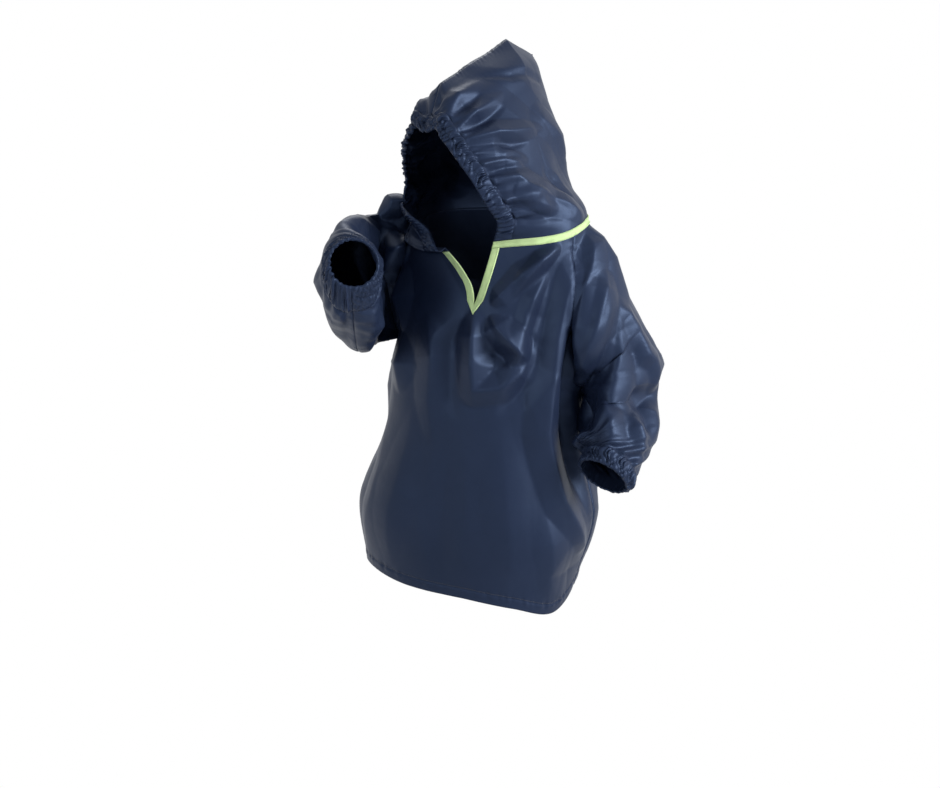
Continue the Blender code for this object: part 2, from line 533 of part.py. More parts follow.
def point_normals(points, triangles):
    """Normals at the points, weighted by the area of the triangles round them."""
    a, b, c = (points[triangles[:, k]] for k in range(3))
    facing = np.cross(b - a, c - a)
    total = np.zeros_like(points)
    for corner in range(3):
        np.add.at(total, triangles[:, corner], facing)
    length = np.linalg.norm(total, axis=1, keepdims=True)
    return total / np.where(length > 0, length, 1)


def border_edges(triangles):
    """Directed edges that only one triangle has."""
    edges = np.concatenate([triangles[:, [0, 1]], triangles[:, [1, 2]], triangles[:, [2, 0]]])
    there = {tuple(edge) for edge in edges.tolist()}
    return np.array([edge for edge in edges.tolist() if (edge[1], edge[0]) not in there])


def share_normals(panels, normals):
    """Give points that several panels' borders share one normal, and the mitre's stretch."""
    tree = KDTree(sum(len(p.points) for p in panels))
    owners, start = [], 0
    for number, panel in enumerate(panels):
        for index in np.unique(border_edges(panel.faces)):
            tree.insert(panel.points[index], len(owners))
            owners.append((number, index))
    tree.balance()
    stretch = [np.ones(len(p.points)) for p in panels]
    shared = [n.copy() for n in normals]
    for number, index in owners:
        near = [owners[hit[1]] for hit in tree.find_range(panels[number].points[index], SAME_POINT)]
        own = np.array([normals[n][i] for n, i in near])
        mean = own.sum(axis=0)
        mean /= max(np.linalg.norm(mean), TINY)
        shared[number][index] = mean
        stretch[number][index] = 1 / max((own @ mean).mean(), 1 / MITRE_LIMIT)
    return shared, stretch


def pull_back(points, normals, edges, amount):
    """Move border points into their own panel, square to each border edge."""
    inward = {}
    for start, end in edges:
        run = points[end] - points[start]
        across = np.cross((normals[start] + normals[end]) / 2, run)
        across /= np.linalg.norm(across)
        inward.setdefault(start, []).append(across)
        inward.setdefault(end, []).append(across)
    moved = points.copy()
    for index, (first, second) in inward.items():
        moved[index] += amount * (first + second) / max(1 + first @ second, CORNER_LIMIT)
    return moved


def lift_neck_row(points):
    """The hood's lowest row, a little clear of the three pieces that meet below it."""
    rows = points.reshape(HOOD_ROWS + 1, -1, 3).copy()
    rise = rows[1] - rows[0]
    rows[0] += NECK_SEAM_RISE * rise / np.linalg.norm(rise, axis=1, keepdims=True)
    return rows.reshape(-1, 3)


def wall_mesh(outer, inner, triangles, edges):
    """Points and faces of a wall between two like grids, closed along its borders."""
    count = len(outer)
    rim = np.concatenate([np.stack([edges[:, 1], edges[:, 0], edges[:, 0] + count], -1),
                          np.stack([edges[:, 1], edges[:, 0] + count, edges[:, 1] + count], -1)])
    return np.concatenate([outer, inner]), np.concatenate([triangles, triangles[:, ::-1] + count, rim])


def make_object(name, points, faces, collection, cloth):
    """A closed mesh object in its cloth's colour; points that no face uses are left out."""
    used = np.unique(faces)
    renamed = np.zeros(len(points), int)
    renamed[used] = np.arange(len(used))
    mesh = bpy.data.meshes.new(name)
    mesh.from_pydata(points[used].tolist(), [], renamed[faces].tolist())
    mesh.validate()
    thing = bpy.data.objects.new(name, mesh)
    collection.objects.link(thing)
    material = bpy.data.materials.new(name)
    material.use_nodes = True
    shader = material.node_tree.nodes["Principled BSDF"]
    shader.inputs["Base Color"].default_value = (*cloth.colour, 1)
    shader.inputs["Roughness"].default_value = cloth.roughness
    shader.inputs["Metallic"].default_value = 0.0
    mesh.materials.append(material)
    return thing


# ---------------------------------------------------------------- trims, made from the panels' own points
Cover = namedtuple("Cover", "points normals")     # grids of points on a panel's outside, and its normals


def walk(line, normals, distances):
    """Points and normals at distances along a line of points."""
    run = np.concatenate([[0], np.cumsum(np.linalg.norm(np.diff(line, axis=0), axis=1))])
    at_points = np.stack([np.interp(distances, run, line[:, k]) for k in range(3)], -1)
    at_normals = np.stack([np.interp(distances, run, normals[:, k]) for k in range(3)], -1)
    return at_points, at_normals / np.linalg.norm(at_normals, axis=1, keepdims=True)


def between(grid, position):
    """A row of a grid, or a mix of two rows where position isn't whole."""
    low = int(position)
    share = position - low
    return grid[low] if share == 0 else grid[low] * (1 - share) + grid[low + 1] * share


def cover_rows(lines, distances):
    """A cover with one row for each line, walked to the same distances."""
    walked = [walk(line, normals, distances) for line, normals in lines]
    return Cover(np.array([w[0] for w in walked]), np.array([w[1] for w in walked]))


def hood_casing_cover(hoods):
    """The hood's first columns, from the left end over the forehead to the right end."""
    left, right = hoods[LEFT], hoods[RIGHT]
    end = CASING_COLUMNS + 1
    return Cover(np.concatenate([left.points[1:, :end], right.points[:0:-1, :end]]),
                 np.concatenate([left.normals[1:, :end], right.normals[:0:-1, :end]]))


def cuff_cover(grid):
    """The sleeve's last rows, as lines round the wrist."""
    first = -CUFF_ROWS - 1
    return Cover(grid.points[first:].swapaxes(0, 1), grid.normals[first:].swapaxes(0, 1))


def hood_column(hood, column):
    """The hood's line up from one point of the neckline; over a sleeve it has only every second one."""
    first, last = FRONT_COLUMNS // 2, FRONT_COLUMNS // 2 + SLEEVE_COLUMNS
    count = last + BACK_COLUMNS // 2 + 1
    kept = np.concatenate([np.arange(first), np.arange(first, last, 2), np.arange(last, count)])
    spot = np.interp(column, kept, np.arange(len(kept)))
    return between(hood.points.swapaxes(0, 1), spot), between(hood.normals.swapaxes(0, 1), spot)


def body_column(side, column, front, arm, back):
    """The line down from one point of the neckline, on the panel that it belongs to."""
    first, last = FRONT_COLUMNS // 2, FRONT_COLUMNS // 2 + SLEEVE_COLUMNS
    if column < first:
        panel, place = front, column
    elif column < last:
        panel, place = arm, last - column
    else:
        panel, place = back, column - last if side == LEFT else last - column - 1
    return panel.points[:, place], panel.normals[:, place]


def neck_binding_cover(side, hood, front, arm, back):
    """Half of the binding over the neck seam, from the V slit to the centre of the back."""
    reach = BINDING_WIDTH / 2 - SEAM_GAP
    points, normals = [], []
    for column in range(FRONT_COLUMNS // 2 + SLEEVE_COLUMNS + BACK_COLUMNS // 2 + 1):
        above, above_normals = walk(*hood_column(hood, column), [0, reach])
        below, below_normals = walk(*body_column(side, column, front, arm, back), [0, reach])
        seam = above_normals[1] + below_normals[1]
        seam = seam / np.linalg.norm(seam)
        seam = seam / max(seam @ above_normals[1], 1 / MITRE_LIMIT)
        points.append([above[1], (above[0] + below[0]) / 2, below[1]])
        normals.append([above_normals[1], seam, below_normals[1]])
    return Cover(np.array(points), np.array(normals))


def slit_binding_cover(front_halves):
    """Down one edge of the V slit, round its point and up the other."""
    places = list(range(1, SLIT_ROWS))
    distances = np.linspace(0, BINDING_WIDTH, 3)
    legs = {side: [(between(grid.points, p), between(grid.normals, p)) for p in places]
            for side, grid in front_halves.items()}
    middle = front_halves[LEFT]
    point = walk(middle.points[SLIT_ROWS:, 0], middle.normals[SLIT_ROWS:, 0], distances * SLIT_POINT_STRETCH)
    left, right = cover_rows(legs[LEFT], distances), cover_rows(legs[RIGHT][::-1], distances)
    return Cover(np.concatenate([left.points, point[0][None], right.points]),
                 np.concatenate([left.normals, point[1][None], right.normals]))


def cover_object(name, cover, lift, thickness, collection, cloth):
    """A closed strip of cloth over a cover. thickness: one value for each point across the strip."""
    low = (cover.points + cover.normals * lift).reshape(-1, 3)
    high = (cover.points + cover.normals * (lift + np.asarray(thickness)[None, :, None])).reshape(-1, 3)
    triangles = triangles_of(cover.points.reshape(-1, 3), grid_faces(*cover.points.shape[:2]))
    points, closed = wall_mesh(high, low, triangles, border_edges(triangles))
    a, b, c = (points[closed[:, k]] for k in range(3))
    if np.einsum("ij,ij->i", a, np.cross(b, c)).sum() < 0:
        closed = closed[:, ::-1]
    return make_object(name, points, closed, collection, cloth)


def panel_grid(points, normals, rows):
    return Cover(points.reshape(rows, -1, 3), normals.reshape(rows, -1, 3))


def front_grids(points, normals):
    """The front panel's two halves, each from the middle column to its edge."""
    rows = YOKE_ROWS + BODY_ROWS + 1
    points = points.reshape(2, rows, -1, 3).copy()
    normals = normals.reshape(2, rows, -1, 3).copy()
    points[1, SLIT_ROWS:, 0] = points[0, SLIT_ROWS:, 0]
    normals[1, SLIT_ROWS:, 0] = normals[0, SLIT_ROWS:, 0]
    return {LEFT: Cover(points[0], normals[0]), RIGHT: Cover(points[1], normals[1])}


def folded_panels():
    """Every panel as triangles with its folds, its normals and the stretch of its wall at the seams."""
    grids = [front_panel(), back_panel(), sleeve(LEFT), sleeve(RIGHT), hood_half(LEFT), hood_half(RIGHT)]
    plain = [Panel(p.name, p.points, triangles_of(p.points, p.faces)) for p in grids]
    normals, _ = share_normals(plain, [point_normals(p.points, p.faces) for p in plain])
    panels = [Panel(p.name, p.points + n * folds_height(p.points)[:, None], p.faces)
              for p, n in zip(plain, normals)]
    normals, stretch = share_normals(panels, [point_normals(p.points, p.faces) for p in panels])
    return zip(panels, normals, stretch)


# ---------------------------------------------------------------- the smock
def main():
    for thing in list(bpy.data.objects):
        bpy.data.objects.remove(thing, do_unlink=True)
    collection = bpy.data.collections.new("rain_smock")
    bpy.context.scene.collection.children.link(collection)

    outside = {}
    for panel, normal, more in folded_panels():
        edges = border_edges(panel.faces)
        outer = pull_back(panel.points, normal, edges, SEAM_GAP / 2)
        if panel.name.startswith("hood"):
            outer = lift_neck_row(outer)
        inner = outer - normal * (WALL * more)[:, None]
        make_object(panel.name, *wall_mesh(outer, inner, panel.faces, edges), collection, NAVY)
        outside[panel.name] = (outer, normal)

    body_rows, arm_rows = YOKE_ROWS + BODY_ROWS + 1, YOKE_ROWS + ARM_ROWS + 1
    hoods = {LEFT: panel_grid(*outside["hood_left"], HOOD_ROWS + 1),
             RIGHT: panel_grid(*outside["hood_right"], HOOD_ROWS + 1)}
    arms = {LEFT: panel_grid(*outside["sleeve_left"], arm_rows),
            RIGHT: panel_grid(*outside["sleeve_right"], arm_rows)}
    back = panel_grid(*outside["back_panel"], body_rows)
    fronts = front_grids(*outside["front_panel"])

    casing = CASING_WALL * np.array(PUFFED)
    cuff = CUFF_WALL * np.array(PUFFED)
    flat = BINDING_WALL * np.ones(len(PUFFED))
    cover_object("hood_casing", hood_casing_cover(hoods), TRIM_LIFT, casing, collection, NAVY)
    cover_object("cuff_left", cuff_cover(arms[LEFT]), TRIM_LIFT, cuff, collection, NAVY)
    cover_object("cuff_right", cuff_cover(arms[RIGHT]), TRIM_LIFT, cuff, collection, NAVY)
    left, right = (neck_binding_cover(side, hoods[side], fronts[side], arms[side], back)
                   for side in (LEFT, RIGHT))
    under_roll = FRONT_COLUMNS // 2 + SLEEVE_COLUMNS
    neck = Cover(np.concatenate([left.points, right.points[-2:under_roll - 1:-1]]),
                 np.concatenate([left.normals, right.normals[-2:under_roll - 1:-1]]))
    cover_object("neck_binding", neck, TRIM_LIFT, flat, collection, LIME)
    cover_object("slit_binding", slit_binding_cover(fronts), TRIM_LIFT, flat, collection, LIME)


if __name__ == "__main__":
    main()
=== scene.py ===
"""Looks of a child's hooded rain smock in coated taffeta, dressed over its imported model.

Every panel is a grid on the same smooth form as its solid, pushed along the cloth's normal by the large folds
of the solid and by finer creases, gathers and hems. +Z is up, -Y is the front, +X is the wearer's left.
"""
import math
from collections import namedtuple
from functools import lru_cache

import bpy
import numpy as np
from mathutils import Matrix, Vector


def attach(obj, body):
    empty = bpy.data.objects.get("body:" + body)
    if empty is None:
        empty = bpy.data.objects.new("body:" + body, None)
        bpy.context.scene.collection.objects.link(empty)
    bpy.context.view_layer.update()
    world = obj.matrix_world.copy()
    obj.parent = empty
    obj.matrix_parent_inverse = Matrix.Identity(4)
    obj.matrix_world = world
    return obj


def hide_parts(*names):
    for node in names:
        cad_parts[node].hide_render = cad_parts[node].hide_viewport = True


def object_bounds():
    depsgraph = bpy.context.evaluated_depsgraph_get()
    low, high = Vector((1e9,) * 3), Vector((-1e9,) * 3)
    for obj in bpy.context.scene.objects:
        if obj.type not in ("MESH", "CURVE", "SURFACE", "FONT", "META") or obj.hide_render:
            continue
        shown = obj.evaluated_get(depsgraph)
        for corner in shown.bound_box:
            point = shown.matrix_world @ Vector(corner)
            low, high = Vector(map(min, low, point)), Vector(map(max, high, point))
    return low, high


bl_info = {
    "name": "Hooded rain smock",
    "version": (1, 0, 0),
    "blender": (4, 5, 0),
    "location": "View3D > Sidebar > Smock",
    "description": "Builds the visible cloth of a child's hooded rain smock over its packed model",
    "category": "Object",
}

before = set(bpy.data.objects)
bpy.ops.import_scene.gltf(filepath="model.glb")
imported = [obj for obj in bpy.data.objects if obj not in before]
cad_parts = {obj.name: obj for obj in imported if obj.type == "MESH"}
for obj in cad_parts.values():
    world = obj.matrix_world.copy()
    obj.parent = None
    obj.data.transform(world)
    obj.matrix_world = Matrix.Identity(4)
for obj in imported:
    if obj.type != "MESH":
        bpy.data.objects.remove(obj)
CAD_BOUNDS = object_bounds()

RIGHT, LEFT = -1, 1      # the wearer's sides
SIDE_NAMES = {RIGHT: "right", LEFT: "left"}

# ---- how finely each piece is cut up
FRONT_COLUMNS = 148      # even
BACK_COLUMNS = 120       # even
SLEEVE_COLUMNS = 108
SLIT_ROWS = 32
YOKE_ROWS = 76           # neckline to underarm
BODY_ROWS = 108          # underarm to the top of the hem
HEM_ROWS = 10
ARM_ROWS = 106           # underarm to the cuff
CUFF_ROWS = 14
HOOD_ROWS = 120
CASING_COLUMNS = 14
HOOD_WALK = 240          # steps in which a level of the hood is measured
SLIT_SHARE = 0.403       # how far down the yoke the V slit reaches
HEM_SHARE = 0.032        # of down, under the turned hem
CUFF_SHARE = 0.13        # of the sleeve's along, under the wrist's tunnel
SAME_PLACE = 5           # decimals, in metres, to which borders of two panels are told to be one seam
TINY = 1e-9
MM = 0.001               # in metres

CASING_WIDTH = 0.022
TRIM_LIFT = 0.0005       # from a panel to the trim on it
BINDING_WALL = 0.0012
BINDING_STEPS = 8        # across a binding
CASING_START = 4         # row of the hood at which the casing ends, just above the binding
HOOD_CASING_BLEND = 0.06    # levels over which the hood's columns close up under the casing
NECK_ROWS = 12           # rows from the neck seam, on either side, that reach past the binding
SLIT_COLUMNS = 24        # columns beside the slit that reach past its binding
SLIT_POINT_ROWS = 16     # rows below the slit's point, down which the binding is drawn

# Ripples are sums of sines: how many, and their shortest and longest length, in metres.
GATHER_DEPTH = 0.0030    # of the pleats that an elastic tunnel lets out
GATHER_TIGHT = (5, 0.007, 0.016)
GATHER_WIDE = (4, 0.018, 0.045)
GATHER_TIGHT_SHARE = 0.5
GATHER_TIGHT_REACH = 0.4    # of the reach of the wide ones
SLEEVE_GATHER_REACH = 0.030
HOOD_GATHER_REACH = 0.032
RUFFLE_DEPTH = 0.0013    # at the free edge of an elastic tunnel
RUFFLES = (5, 0.0055, 0.013)
RUFFLE_SWAY = 0.002      # by which the ruffles' places wander
RUFFLE_SWAYS = (2, 0.02, 0.04)
SEAM_DIP = 0.0008        # of a seam's groove
SEAM_GROOVE = 0.0018     # its width
SEAM_PUCKERS = (4, 0.006, 0.016)
SEAM_PUCKERS_FROM = 0.003
SEAM_PUCKERS_REACH = 0.008
HEM_STEP = 0.0006        # by which the turned hem stands out
HEM_DIP = 0.0008         # of its stitched groove
HEM_PUCKER = 0.0006
HEM_PUCKERS = (4, 0.008, 0.022)
HEM_SEED = 53
HEM_GROOVE_AT = (1.2, 0.9)    # rows below the hem's top, and rows wide
HEM_PUCKERS_AT = (2.0, 3.0)
HEM_STEP_ROWS = 1.5      # over which the hem steps out
HEM_STEP_LATE = 0.2      # share of them by which the step starts late
SEAM_FADE = 0.012        # beside a sleeve's seam, over which gathers come up
NECK_FADE = 0.03         # the same above the hood's neck seam
TOP_FADE = 0.02          # and below its top seam
SLEEVE_GATHERS_FROM = 0.004    # they start this gently at the tunnel's stitch line
HOOD_GATHERS_FROM = 0.003
EDGE_BLEND = 0.01        # beside a side seam, over which the hem's puckers fade
CRUMPLE_DEPTH = 0.0015   # of the small dents all over the cloth
CRUMPLE_LENGTHS = (0.120, 0.095, 0.075, 0.056)
CRUMPLE_SEED = 404
CRUMPLE_LEVEL = (1.0, 1.0, 0.55)    # their directions lean to the level
CRUMPLE_PATCHES = (0.5, 0.9)    # how strong they are on average, and how much more or less in patches
CRUMPLE_BEND = 0.35      # of a length, by which the dents' edges sway
CRUMPLE_BEND_LENGTH = 2.7    # lengths from one sway to the next
CRUMPLE_FADE_LENGTH = 3.1    # lengths from one patch of dents to the next
CRUMPLE_CALM = 0.7       # share of the dents that is gone low on the front
CALM_BELOW = (0.16, 0.12)    # depth at which the calm begins, and the depth over which it comes
CALM_AHEAD = (0.02, 0.06)    # the same towards the front, from behind the middle
SEAM_SEEDS = {"front_left": 61, "front_right": 62, "back": 63, "sleeve": 64, "hood": 65}
GATHER_SEEDS = {"sleeve_left": 31, "sleeve_right": 47, "hood_left": 5, "hood_right": 11}
ELASTIC_RIPPLES = (6, 0.0042, 0.0105)
ELASTIC_SWAY = 0.0016
ELASTIC_SWAYS = (3, 0.012, 0.03)
ELASTIC_PINCH = 0.50     # share of its thickness by which the ripples change it
ELASTIC_PINCHES = (0.35, 0.65)    # how much of that acts at its edges, and how much more on its crest
ELASTIC_ROUND = 0.45     # power of the arch across a tunnel: the lower, the fuller
ELASTIC_ARCH = (0.30, 0.75)    # shares of its wall at its edges, and added on its crest
BINDING_ARCH = (0.25, 0.75)    # shares of its wall at its edges, and added between them
BINDING_FLAT = 6         # power of the arch across it: the higher, the flatter
BINDING_UNEVEN = 0.10    # share of its thickness
BINDING_RIPPLES = (4, 0.008, 0.03)
BINDING_SEED = 71
STITCH_PITCH = 0.0032
STITCH_LENGTH = 0.0024
STITCH_STATIONS = np.array((-0.5, -0.3, 0.3, 0.5)) * STITCH_LENGTH
THREAD_RADIUS = 0.00022
STITCH_BOW = np.array((-1.0, 0.6, 0.6, -1.0)) * THREAD_RADIUS     # at its stations
STITCH_SIDE = np.array((-1, 1, 1, -1)) * THREAD_RADIUS            # at the corners of its square
STITCH_HIGH = np.array((-0.7, -0.7, 0.7, 0.7)) * THREAD_RADIUS
TUNNEL_STITCH_LIFT = 0.0014
SLIT_POINT_STRETCH = 1.4    # how much further the binding reaches below the slit's point

# ---- camera and lamps
CAMERA_AZIMUTH = 20.0
CAMERA_ELEVATION = 14.0
CAMERA_DISTANCE = 2.6
CAMERA_LENS = 76.6
CAMERA_TARGET = (-0.0094, -0.0577, -0.2043)
FLOOR_DROP = 0.45        # from the hem down to what the wearer would stand on
FLOOR_REACH = 14.0
FLOOR_WHITE = 1.0        # how much of what is seen of the floor is plain white; below 1 its shadow shows
LAMPS_AT = (0.0, 0.0, -0.1)
STAGE_GREY = (0.86, 0.86, 0.86)
WORLD_COLOUR = (0.86, 0.92, 1.0)
WORLD_STRENGTH = 0.14
LAMPS = (
    ("key", (2.2, -0.35, 0.60), 1.1, 72.0, (1.0, 0.99, 0.97)),
    ("fill", (-0.9, -2.3, 0.6), 1.2, 14.0, (0.93, 0.97, 1.0)),
    ("rim", (-0.7, 1.5, 1.3), 0.9, 8.0, (1.0, 1.0, 1.0)),
)

# ---- the body of the smock
# A section for each level. down: 0 at the neckline, 1 at the hem. left, right, front and back: reach from
# the upright line x = 0, y = mid_y. square: 2 is an ellipse, more is squarer.
Body = namedtuple("Body", "down left right front back mid_y square")
BODY = (
    Body(0.00, 0.126, 0.110, 0.078, 0.066, 0.000, 2.2),
    Body(0.20, 0.134, 0.124, 0.102, 0.086, 0.000, 2.2),
    Body(0.42, 0.126, 0.132, 0.114, 0.098, 0.000, 2.3),
    Body(0.55, 0.123, 0.140, 0.118, 0.104, 0.000, 2.3),
    Body(0.66, 0.130, 0.154, 0.119, 0.106, -0.002, 2.4),
    Body(0.80, 0.142, 0.178, 0.118, 0.106, -0.006, 2.4),
    Body(1.00, 0.121, 0.168, 0.106, 0.100, -0.012, 2.3),
)

# Heights of the two ends of the body. angle: 0 in front, 90 at the wearer's left, in degrees.
Edge = namedtuple("Edge", "angle height")
NECKLINE = (
    Edge(-180, 0.022), Edge(-130, 0.016), Edge(-90, 0.004), Edge(-60, -0.006), Edge(-25, -0.013),
    Edge(0, -0.006), Edge(22, 0.000), Edge(55, 0.006), Edge(90, 0.019), Edge(135, 0.024), Edge(180, 0.022),
)
HEM = (
    Edge(-180, -0.446), Edge(-135, -0.442), Edge(-90, -0.449), Edge(-60, -0.447), Edge(-25, -0.457),
    Edge(0, -0.463), Edge(30, -0.474), Edge(62, -0.487), Edge(90, -0.466), Edge(135, -0.448),
    Edge(180, -0.446),
)

# The raglan seams run down the body from the neckline to the underarm. front and back: angle from the
# front, in degrees. The side seam goes on from the underarm at 90.
Raglan = namedtuple("Raglan", "share front back")
RAGLAN = (
    Raglan(0.00, 70, 114),
    Raglan(0.35, 66, 116),
    Raglan(0.70, 72, 108),
    Raglan(1.00, 90, 90),
)
UNDERARM_DOWN = {RIGHT: 0.34, LEFT: 0.43}     # the raised arm pulls its underarm up
SLIT_TOP_ANGLE = {RIGHT: -17.0, LEFT: 11.0}
SLIT_BOTTOM_ANGLE = 3.5
SLIT_BEND = {RIGHT: 2.2, LEFT: 0.85}           # above 1 the edge leans in, below 1 it leans out
SLEEVE_HEAD_ANGLE = 62.0    # how far round the sleeve its edges lie at the neckline
SLEEVE_NECK_BLEND = 0.7     # along the sleeve, over which it leaves the neckline's round
UNDERARM_BLEND = 0.3        # along the sleeve, over which it leaves the body at the underarm
COURSE_STEP = 0.04          # along the sleeve, to either side, from which its direction is taken

# ---- the sleeves
# A ring for each station. along: 0 at the neckline, 1 at the underarm, 2 at the wrist. The ring goes
# through its outer and inner points; front and back: its reach to either side of the line between them.
Ring = namedtuple("Ring", "along outer inner front back")
SLEEVE = {
    LEFT: (
        Ring(0.00, (0.124, 0.016, 0.018), (0.080, 0.005, -0.060), 0.040, 0.040),
        Ring(0.28, (0.145, 0.025, -0.016), (0.100, 0.005, -0.115), 0.052, 0.050),
        Ring(0.66, (0.169, 0.030, -0.060), (0.122, 0.002, -0.165), 0.054, 0.044),
        Ring(1.00, (0.192, 0.040, -0.110), (0.127, 0.000, -0.200), 0.052, 0.030),
        Ring(1.25, (0.209, 0.062, -0.163), (0.136, -0.028, -0.214), 0.046, 0.038),
        Ring(1.50, (0.213, 0.040, -0.212), (0.136, -0.050, -0.238), 0.036, 0.046),
        Ring(1.72, (0.226, 0.000, -0.256), (0.140, -0.074, -0.248), 0.036, 0.044),
        Ring(1.87, (0.215, -0.060, -0.294), (0.152, -0.067, -0.261), 0.033, 0.033),
        Ring(2.00, (0.207, -0.077, -0.306), (0.149, -0.083, -0.276), 0.031, 0.031),
    ),
    RIGHT: (
        Ring(0.00, (-0.108, 0.002, 0.006), (-0.080, 0.005, -0.060), 0.030, 0.040),
        Ring(0.28, (-0.130, -0.016, 0.020), (-0.114, 0.000, -0.100), 0.012, 0.046),
        Ring(0.66, (-0.148, -0.040, 0.020), (-0.126, -0.006, -0.135), 0.004, 0.047),
        Ring(1.00, (-0.152, -0.078, 0.021), (-0.130, 0.000, -0.150), 0.003, 0.043),
        Ring(1.30, (-0.146, -0.130, 0.026), (-0.140, -0.085, -0.146), 0.028, 0.037),
        Ring(1.60, (-0.129, -0.185, 0.025), (-0.121, -0.165, -0.130), 0.040, 0.036),
        Ring(1.85, (-0.108, -0.222, 0.024), (-0.098, -0.232, -0.070), 0.036, 0.034),
        Ring(2.00, (-0.093, -0.238, 0.022), (-0.088, -0.258, -0.031), 0.030, 0.028),
    ),
}

# ---- the hood
# The head looks down and to the wearer's right, so the hood has its own turned frame: aside is towards its
# left, ahead is where the face looks, up is +Z.
HOOD_TURN = math.radians(25)
HOOD_MIDDLE = np.array((-0.010, 0.000, 0.000))
# A section for each level. level: 0 at the neckline, 1 along the top seam. ahead: the foremost point of
# the closed section. behind: its centre seam at the back. opening: angle from ahead where the face opening
# cuts it.
Hood = namedtuple("Hood", "level half_width ahead behind front_up back_up opening")
HOOD = (
    Hood(0.00, 0.116, 0.066, -0.070, -0.008, 0.022, 40),
    Hood(0.14, 0.112, 0.084, -0.084, 0.020, 0.050, 51),
    Hood(0.30, 0.104, 0.114, -0.098, 0.044, 0.085, 54),
    Hood(0.48, 0.090, 0.132, -0.104, 0.074, 0.125, 52),
    Hood(0.65, 0.078, 0.130, -0.102, 0.098, 0.163, 42),
    Hood(0.80, 0.060, 0.124, -0.095, 0.114, 0.193, 34),
    Hood(0.92, 0.038, 0.116, -0.091, 0.130, 0.214, 25),
    Hood(1.00, 0.000, 0.106, -0.089, 0.142, 0.224, 0),
)
HOOD_SKEW = 0.17         # its left side is drawn forward by this share of the width, its right side back
# The top seam swells up behind the gathered casing and runs almost level to a blunt peak.
HOOD_SWELL = 0.044       # above the line from the forehead to the back corner
HOOD_SWELL_FROM = 0.15   # shares of the seam over which the swelling comes and goes
HOOD_SWELL_TO = 0.26
HOOD_SWELL_POWER = 4     # the higher, the nearer to the top seam the swelling stays
HOOD_STOPS = (0.0, 0.36, 0.64, 1.0)   # across the hood, where it meets the neckline's four stops
HOOD_NECK_BLEND = 0.38   # levels over which the neckline's round becomes the hood's own
# On the wearer's right the hood's lowest part rolls out and hangs over the neck seam, which has no binding
# there.
ROLL_OUT = 0.010         # how far it stands out
ROLL_DOWN = 0.012        # how far it sags
ROLL_TOP = 0.26          # level at which it ends
ROLL_ACROSS = (0.26, 0.42)   # it fades out between these two places across the hood
ROLL_SAG_ACROSS = (0.24, 0.35)   # and sags less and less between these two
ROLL_LOW = 0.5            # power that brings its fullest place down to the seam
ROLL_ROUND = 0.7          # power that makes it round, not pointed

# ---- the largest folds
# A fold or crease is a ridge (+) or a trough (-) along a line on one panel, written in the panel's own terms:
# degrees from the front and down for the body, -1 to 1 from the back edge to the front edge and along for a
# sleeve, 0 to 1 from face to centre seam and level for the hood. Each place on it is across, along, height.
# Heights, and the reach to either side, are in millimetres.
# A fold is its reach, its bow and its two ends. bow: how far the line's middle leans to its side, as a share
# of its length.
FOLDS = {
    "body": (
        # the back and the sides hang in a few long, soft flutes, under a pull from each armhole
        (34, .05, (150, .3, 8), (146, .96, 10)),
        (34, -.05, (176, .24, -8), (172, .9, -6)),
        (34, .06, (-152, .28, 8), (-150, .96, 8)),
        (30, 0, (120, .5, -6), (112, .96, -8)),
        (34, 0, (-118, .36, 6), (-116, .94, 9)),
        (24, .06, (104, .2, 7), (150, .34, 4)),
        (24, -.06, (-106, .14, 7), (-150, .3, 4)),
    ),
    "sleeve_left": (
        # a long ridge and a long hollow down its back
        (24, .1, (-.3, .6, 8), (-.45, 1.6, 6)),
        (22, 0, (-.62, .95, -8), (-.7, 1.55, -5)),
    ),
    "sleeve_right": (
        # a sharp point stands up on the shoulder, and the bag under the forearm hangs in facets
        (12, 0, (0, .42, 21), (.04, .28, 16)),
        (15, 0, (.04, .28, 16), (.15, .15, 14)),
        (20, 0, (.52, 1.72, -7), (.5, 1.3, -6)),
        (24, .06, (-.34, .8, 7), (-.46, 1.7, 8)),
        (22, 0, (-.7, 1.1, -7), (-.74, 1.75, -6)),
    ),
    "hood_left": (
        # a long pull from the back of the head to the neckline
        (24, .08, (.55, .62, 6), (.72, .2, 5)),
    ),
    "hood_right": (
        # the rolled edge over the neck seam, two pleats let out of the casing, and long pulls to the neckline
        (22, 0, (0, .28, 12), (.04, .16, 14)),
        (15, .05, (.12, .86, 7), (.42, .8, 3)),
        (14, .05, (.13, .68, 7), (.4, .6, 3)),
        (22, .08, (.24, .4, 7), (.62, .18, 6)),
        (24, -.08, (.55, .6, 6), (.7, .22, 5)),
    ),
}
FOLD_STEPS = 7           # points that a fold's line is followed through
FOLD_HOLLOW = 1.05       # above 1 the flanks of a fold are hollow
CREASE_HOLLOW = 1.0
RIDGE_ROUND = 0.04       # share of the reach over which an edge is rounded
CREASE_STEPS = 4         # points that a crease's line is followed through, from spot to spot
BODY_DEGREES = 100.0     # degrees round the body that are about as long as one down

